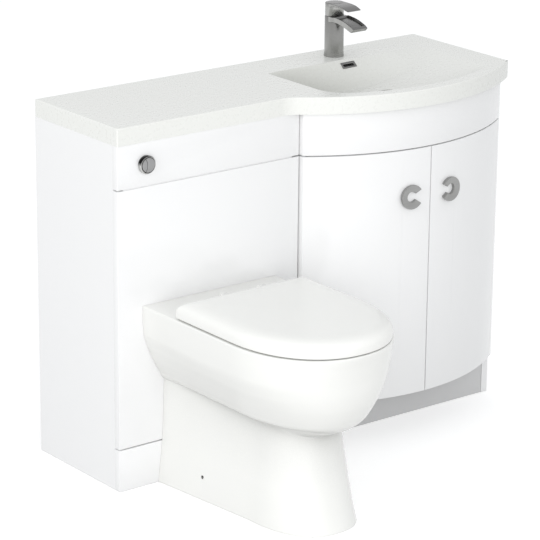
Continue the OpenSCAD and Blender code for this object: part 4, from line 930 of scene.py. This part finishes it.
class UNIT_OT_seat(bpy.types.Operator):
    """Model the lid, the seat ring under it and their hinge eyes"""
    bl_idname = "unit.seat"
    bl_label = "Seat and lid"

    def execute(self, context):
        lid, seat = lid_shell(), seat_ring()
        # the lid's back stops short, so that it swings past the ledge and the hinge posts
        cut(lid, (WC_X - 190, -HINGE_Y + 9, LID_LOW - 2),
            (WC_X + 190, -HINGE_Y + 27, LID_LOW + 2.5))
        for side in (-1, 1):
            x = WC_X + side * (POST_X + 12)
            cut(lid, (x - 27.5, -HINGE_Y - 14, LID_LOW - 2), (x + 27.5, -HINGE_Y + 36, 457.5))
        # eyes round the pin, and the arms that hold them
        for piece, name, reach, r, y0, z0, y1, z1 in (
                (lid, "lid", 52, 9, -9, HINGE_Z, 8, 463),
                (seat, "seat", 103, 8.2, -30, 440, 0, HINGE_Z)):
            for side in (-1, 1):
                x = WC_X + side * reach
                merge(piece, cylinder("eye", (x - 10, -HINGE_Y, HINGE_Z), r, 20, "X", 32, 0.8))
                merge(piece, slab("arm", (x - 10, -HINGE_Y + y0, z0), (x + 10, -HINGE_Y + y1, z1),
                                  0.8))
            bore(piece, [((WC_X - 140, -HINGE_Y, HINGE_Z), PIN_R, 280, "X")])
            done(piece, 60)
            dress(piece, "seat_plastic", name + "_body", name)
        return {"FINISHED"}


# ---------------------------------------------------------------- fronts

def at_handle(side):
    """The frame of a handle on its door: local Z stands out of the bowed front."""
    turn = side * math.asin(HANDLE_X / BOW_R)
    c, s = math.cos(turn), math.sin(turn)

    def put(p):
        x, y, z = p[:, 0], -p[:, 2] - BOW_R, p[:, 1]
        return np.column_stack([x * c - y * s + BOW_CX, x * s + y * c + BOW_CY, z + HANDLE_Z])

    return put


def at_screw(side):
    """The same frame, moved to the handle's screw."""
    put = at_handle(side)
    return lambda p: put(p + np.array([side * HANDLE_SCREW, 0, 0]))


def bowed(name, x0, x1, z0, z1, ease=1.2):
    """A bowed board: its section swung about the bow's axis, then cut at its two sides."""
    first = math.asin((x0 - BOW_CX) / (BOW_R - BOARD)) - 0.02
    last = math.asin((x1 - BOW_CX) / (BOW_R - BOARD)) + 0.02
    s, c = math.sin(first), math.cos(first)
    obj = face(name, [(BOW_CX + r * s, BOW_CY - r * c, z) for r, z in (
        (BOW_R, z0), (BOW_R, z1), (BOW_R - BOARD, z1), (BOW_R - BOARD, z0))])
    bpy.ops.mesh.spin(steps=max(24, int(90 * (last - first))), angle=-(last - first),
                      center=place([(BOW_CX, BOW_CY, 0)])[0], axis=(0, 0, 1))
    for x, side in ((x0, "clear_inner"), (x1, "clear_outer")):
        bpy.ops.mesh.select_all(action="SELECT")
        bpy.ops.mesh.bisect(plane_co=place([(x, 0, 0)])[0], plane_no=(1, 0, 0), use_fill=True,
                            **{side: True})
    return eased(obj, ease)


def flat_front(name, node, z0, z1, holes=()):
    """A board across the cistern cupboard's front, with round holes (x, z, radius)."""
    board = slab(name, (-WC_W, -FRONT, z0), (-1, -FRONT + BOARD, z1))
    if holes:
        bore(board, [((x, -FRONT - 2, z), r, BOARD + 4, "Y") for x, z, r in holes], 64)
        done(board, 30)
    dress(board, "gloss_board", "unit", node)


class UNIT_OT_fronts(bpy.types.Operator):
    """Model the bowed doors, the bowed board over them and the cistern cupboard's flat boards"""
    bl_idname = "unit.fronts"
    bl_label = "Doors and front boards"

    def execute(self, context):
        low, high = PLINTH + GAP / 2, UPPER - GAP / 2
        for side, name, x0, x1, pivot in (
                (-1, "left_door", 2, BOW_CX - GAP / 2, PIVOT_X),
                (1, "right_door", BOW_CX + GAP / 2, BASIN_W - 2, BASIN_W - PIVOT_X)):
            door = bowed(name + "_leaf", x0, x1, low, high)
            bore(door, [((pivot, PIVOT_Y, z), PIVOT_R, 30, "Z") for z in (high - 20, low - 10)])
            subtract(door, done(lathe("hole", [(0, -22), (2.2, -22), (2.2, 3), (0, 3)],
                                      at_screw(side), 24)))
            done(door, 30)
            dress(door, "gloss_board", name + "_body", name)
        board = done(bowed("bowed_fascia", 1, BASIN_W - 1, UPPER + GAP / 2, CARCASS), 30)
        dress(board, "gloss_board", "unit", "curved_fascia")
        flat_front("upper_board", "wc_upper_fascia", UPPER + GAP / 2, CARCASS,
                   [(BUTTON_X, BUTTON_Z, 19.0)])
        flat_front("access_board", "wc_access_panel", low, high,
                   [(WC_X, INLET_Z, 34), (WC_X, SOIL_Z, 66)])
        # a strip behind the joint of the two boards, so that the joint isn't a dark line
        strip = slab("joint_strip", (-WC_W + BOARD, -FRONT + 3, UPPER - 1.4),
                     (-BOARD - 1, -FRONT + 12, UPPER + 1.4), 0.3)
        dress(strip, "gloss_board", "unit")
        flat_front("wc_kick_board", "wc_plinth", 0, PLINTH - GAP / 2)
        return {"FINISHED"}


class UNIT_OT_handles(bpy.types.Operator):
    """Model the two open ring handles with their screws"""
    bl_idname = "unit.handles"
    bl_label = "Handles"

    def execute(self, context):
        section = [(12.5, 0.3), (25.6, 0.3), (26.6, 0.8), (28.9, 5.6), (29, 9.2), (28.7, 10.2),
                   (28.0, 10.7), (26.8, 10.6), (14.2, 8.3), (13.0, 7.9), (12.5, 7.2)]
        shank = [(0, -21.2), (3.4, -21.2), (4, -20.6), (4, -19.2), (2, -19.2), (2, 5.0), (0, 5.0)]
        for side, name, arc in ((-1, "left", (34, 326)), (1, "right", (214, 506))):
            ring = done(lathe("ring", section, at_handle(side), 96, arc, closed=True,
                              capped=True))
            select_edges(ring, lambda a, b, e: e.calc_face_angle(0) > 1.0 and any(
                len(f.verts) > 6 for f in e.link_faces))
            bpy.ops.mesh.bevel(offset=0.0008, segments=3, profile=0.5)
            done(ring, 30)
            screw = done(lathe("screw", shank, at_screw(side), 32), 30)
            ring = join([ring, screw], name + "_door_ring")
            dress(ring, "brushed", name + "_door_body", name + "_handle")
        return {"FINISHED"}


# ---------------------------------------------------------------- flush button

def at_button(p):
    """The flush button's frame: local Z stands out of the front board."""
    return np.column_stack([p[:, 0] + BUTTON_X, -p[:, 2] - FRONT, p[:, 1] + BUTTON_Z])


class UNIT_OT_flush(bpy.types.Operator):
    """Model the dual flush button: its ring and body, and the two halves that press in"""
    bl_idname = "unit.flush"
    bl_label = "Flush button"

    def execute(self, context):
        parts = [done(lathe("flush", [
            (0, -41), (14.5, -41), (14.5, -6), (17, -6), (17, 9.4), (17.4, 10.4), (18.2, 11),
            (19.2, 10.9), (20, 10.2), (20.5, 9.0), (20.5, 0.7), (20.2, 0.2), (18.5, 0.2),
            (18.5, -18.2), (24.5, -18.2), (24.5, -26), (18.5, -26), (18.5, -45), (0, -45)],
            at_button, 96))]
        for side in (-1, 1):
            parts.append(cylinder("spigot", (BUTTON_X, -FRONT + 44.5, BUTTON_Z + side * 6), 2.6,
                                  11.5, "Y", 32, 0.3))
        ring = done(join(parts, "flush_ring"))
        dress(ring, "chrome", "unit", "flush_button_housing", look="bezel")
        # each half is the button's circle, cut by an arc about cx
        r, cx = BUTTON_R, -29.0
        for side, cut_r, stem_x, name in ((-1, 25.9, -9, "full"), (1, 26.6, 6.5, "half")):
            x = (cx * cx + r * r - cut_r * cut_r) / (2 * cx)
            y = math.sqrt(r * r - x * x)
            a, b = math.atan2(y, x), math.atan2(y, x - cx)
            rest = np.linspace(a, 2 * math.pi - a, 49) if side < 0 else np.linspace(a, -a, 61)
            outline = [(cx + cut_r * math.cos(t), cut_r * math.sin(t))
                       for t in np.linspace(-b, b, 25)]
            outline += [(r * math.cos(t), r * math.sin(t)) for t in rest[1:-1]]
            half = prism(name, outline, at_button, 0.5, 12.5, 0.7)
            stem = cylinder("stem", (BUTTON_X + stem_x, -FRONT - 1, BUTTON_Z), 3.5, 16, "Y", 32,
                            0.3)
            half = done(join([half, stem], name + "_flush_half"))
            dress(half, "chrome", name + "_button_body", name + "_flush_button", look="button")
        return {"FINISHED"}


# ---------------------------------------------------------------- carried-over pieces and stage

class UNIT_OT_inside(bpy.types.Operator):
    """Give every CAD piece that stays its finish, and ease its edges"""
    bl_idname = "unit.inside"
    bl_label = "Hidden pieces"

    def execute(self, context):
        slots = {p["node"]: p["material_slot"] for p in FRAME["record"]["subparts"]}
        for name, obj in FRAME["nodes"].items():
            if name in TAKEN:
                continue
            obj.data.materials.clear()
            obj.data.materials.append(finishes()[LOOKS.get(name, slots[name])])
            if name.endswith("back_rail"):
                continue               # a bevel would crease the face between their screw holes
            weld = obj.modifiers.new("Weld", "WELD")
            weld.merge_threshold = 0.00001
            bevel = obj.modifiers.new("Bevel", "BEVEL")
            bevel.width, bevel.segments, bevel.harden_normals = 0.0007, 2, True
            bevel.limit_method, bevel.angle_limit = "ANGLE", math.radians(40)
        return {"FINISHED"}


# the camera's place in metres, and its turn to the left, tilt down and roll in degrees
CAMERA_AT, CAMERA_TURN, CAMERA_TILT, CAMERA_ROLL = (-3.7556, -4.5387, 2.3504), -37.60, 18.15, 0.45
LENS, SENSOR = 181.57, 36


class UNIT_OT_stage(bpy.types.Operator):
    """Set the floor, the lights, the background and the camera"""
    bl_idname = "unit.stage"
    bl_label = "Stage"

    @staticmethod
    def seen(tree):
        """1 for what the camera sees straight on, in gloss or through glass, and 0 otherwise."""
        rays = tree.nodes.new("ShaderNodeLightPath")
        total = rays.outputs["Is Camera Ray"]
        for name in ("Is Glossy Ray", "Is Transmission Ray"):
            add = tree.nodes.new("ShaderNodeMath")
            add.operation, add.use_clamp = "ADD", True
            tree.links.new(total, add.inputs[0])
            tree.links.new(rays.outputs[name], add.inputs[1])
            total = add.outputs[0]
        return total

    def floor_material(self):
        """White floor that keeps a shadow, and throws back less light than it shows."""
        m = bpy.data.materials.new("Floor")
        m.use_nodes = True
        tree = m.node_tree
        tree.nodes.clear()
        out, mix, dull, pale, glow, both = nodes(
            tree, "OutputMaterial", "MixShader", "BsdfDiffuse", "BsdfDiffuse", "Emission",
            "AddShader")
        preset(dull, {"Color": (0.55, 0.55, 0.55, 1)})
        preset(pale, {"Color": (0.75, 0.75, 0.75, 1)})
        preset(glow, {"Strength": 0.45})
        tree.links.new(self.seen(tree), mix.inputs["Fac"])
        wire(tree, (pale, 0, both, 0), (glow, 0, both, 1), (dull, 0, mix, 1), (both, 0, mix, 2),
             (mix, 0, out, "Surface"))
        return m

    def backdrop(self, fill_light):
        """White background for the camera, and a fill light of its own strength all round."""
        world = bpy.data.worlds.new("Backdrop")
        world.use_nodes = True
        tree = world.node_tree
        tree.nodes.clear()
        out, mix, fill, back = nodes(tree, "OutputWorld", "MixShader", "Background",
                                     "Background")
        preset(fill, {"Color": (0.97, 0.985, 1, 1), "Strength": fill_light})
        preset(back, {"Color": (1, 1, 1, 1), "Strength": 1.0})
        tree.links.new(self.seen(tree), mix.inputs["Fac"])
        wire(tree, (fill, 0, mix, 1), (back, 0, mix, 2), (mix, 0, out, "Surface"))
        return world

    def camera(self, shift):
        """The camera, from its place and its turn, tilt and roll."""
        az, el, roll = (math.radians(v) for v in (CAMERA_TURN, CAMERA_TILT, CAMERA_ROLL))
        look = Vector((-math.sin(az) * math.cos(el), math.cos(az) * math.cos(el), -math.sin(el)))
        level = Vector((math.cos(az), math.sin(az), 0))
        up = level.cross(look)
        right = level * math.cos(roll) + up * math.sin(roll)
        up = up * math.cos(roll) - level * math.sin(roll)
        bpy.ops.object.camera_add()
        cam = bpy.context.view_layer.objects.active
        cam.name = "camera"
        cam.matrix_world = Matrix.Translation(CAMERA_AT) @ Matrix(
            (right, up, -look)).transposed().to_4x4()
        cam.data.lens, cam.data.sensor_width = LENS, SENSOR
        cam.data.shift_x, cam.data.shift_y = shift
        return cam

    def execute(self, context):
        s = context.scene.unit_finish
        clear()
        bpy.ops.mesh.primitive_plane_add(size=40, location=(0, 0, -0.0005))
        floor = newest("floor")
        floor.data.materials.append(self.floor_material())
        for name, spot, target, size, power in (
                ("key", s.key_at, (0.0, 0, 0.5), 3.2, s.key_light),
                ("side", (-4.2, -0.6, 2.2), (-0.5, 0, 0.5), 2.6, s.side_light)):
            bpy.ops.object.light_add(type="AREA", location=spot)
            lamp = bpy.context.view_layer.objects.active
            lamp.name = name
            lamp.data.shape, lamp.data.size, lamp.data.energy = "SQUARE", size, power
            lamp.rotation_euler = (Vector(target) - Vector(spot)).to_track_quat(
                "-Z", "Y").to_euler()
            lamp.visible_glossy = False
        context.scene.world = self.backdrop(s.fill_light)
        cam = self.camera(s.shift)
        context.scene.camera = cam
        context.scene.view_settings.view_transform = "Standard"
        return {"FINISHED"}


OPERATORS = (UNIT_OT_worktop, UNIT_OT_overflow, UNIT_OT_tap, UNIT_OT_pan, UNIT_OT_seat,
             UNIT_OT_fronts, UNIT_OT_handles, UNIT_OT_flush, UNIT_OT_inside, UNIT_OT_stage)


class UnitFinish(bpy.types.PropertyGroup):
    """Colours, edges and light of the unit."""
    worktop_tone: bpy.props.FloatVectorProperty(
        name="Worktop", description="Colour of the worktop and basin", subtype="COLOR",
        default=(0.80, 0.805, 0.775), min=0, max=1)
    board_tone: bpy.props.FloatVectorProperty(
        name="Boards", description="Colour of the gloss boards", subtype="COLOR",
        default=(0.85, 0.85, 0.85), min=0, max=1)
    china_tone: bpy.props.FloatVectorProperty(
        name="China", description="Colour of the pan, seat and lid", subtype="COLOR",
        default=(0.84, 0.84, 0.815), min=0, max=1)
    edge_ease: bpy.props.FloatProperty(
        name="Worktop edge", description="Rounding of the worktop's edges", unit="LENGTH",
        default=0.0025, min=0.0005, max=0.006)
    key_light: bpy.props.FloatProperty(
        name="Front light", description="Power of the light in front", default=112, min=0)
    key_at: bpy.props.FloatVectorProperty(
        name="Front light place", description="Where the light in front stands", size=3,
        subtype="TRANSLATION", unit="LENGTH", default=(-2.1, -4.5, 1.6))
    side_light: bpy.props.FloatProperty(
        name="Side light", description="Power of the light on the left", default=54, min=0)
    fill_light: bpy.props.FloatProperty(
        name="Fill", description="Strength of the light from all round", default=0.77, min=0)
    shift: bpy.props.FloatVectorProperty(
        name="Shift", description="Lens shift of the camera", size=2, default=(0.0257, 0.0187))


class UNIT_PT_panel(bpy.types.Panel):
    """The unit's colours and the steps that model it"""
    bl_label = "Toilet and basin unit"
    bl_idname = "UNIT_PT_panel"
    bl_space_type = "VIEW_3D"
    bl_region_type = "UI"
    bl_category = "Unit"

    def draw(self, context):
        for name in UnitFinish.__annotations__:
            self.layout.prop(context.scene.unit_finish, name)
        for kind in OPERATORS:
            self.layout.operator(kind.bl_idname)


CLASSES = (UnitFinish, *OPERATORS, UNIT_PT_panel)


def register():
    for kind in CLASSES:
        bpy.utils.register_class(kind)
    bpy.types.Scene.unit_finish = bpy.props.PointerProperty(type=UnitFinish)


def unregister():
    del bpy.types.Scene.unit_finish
    for kind in reversed(CLASSES):
        bpy.utils.unregister_class(kind)


def main():
    """Make everything, in order."""
    register()
    for kind in OPERATORS:
        group, name = kind.bl_idname.split(".")
        getattr(getattr(bpy.ops, group), name)()
    clear()


if __name__ == "__main__":
    main()
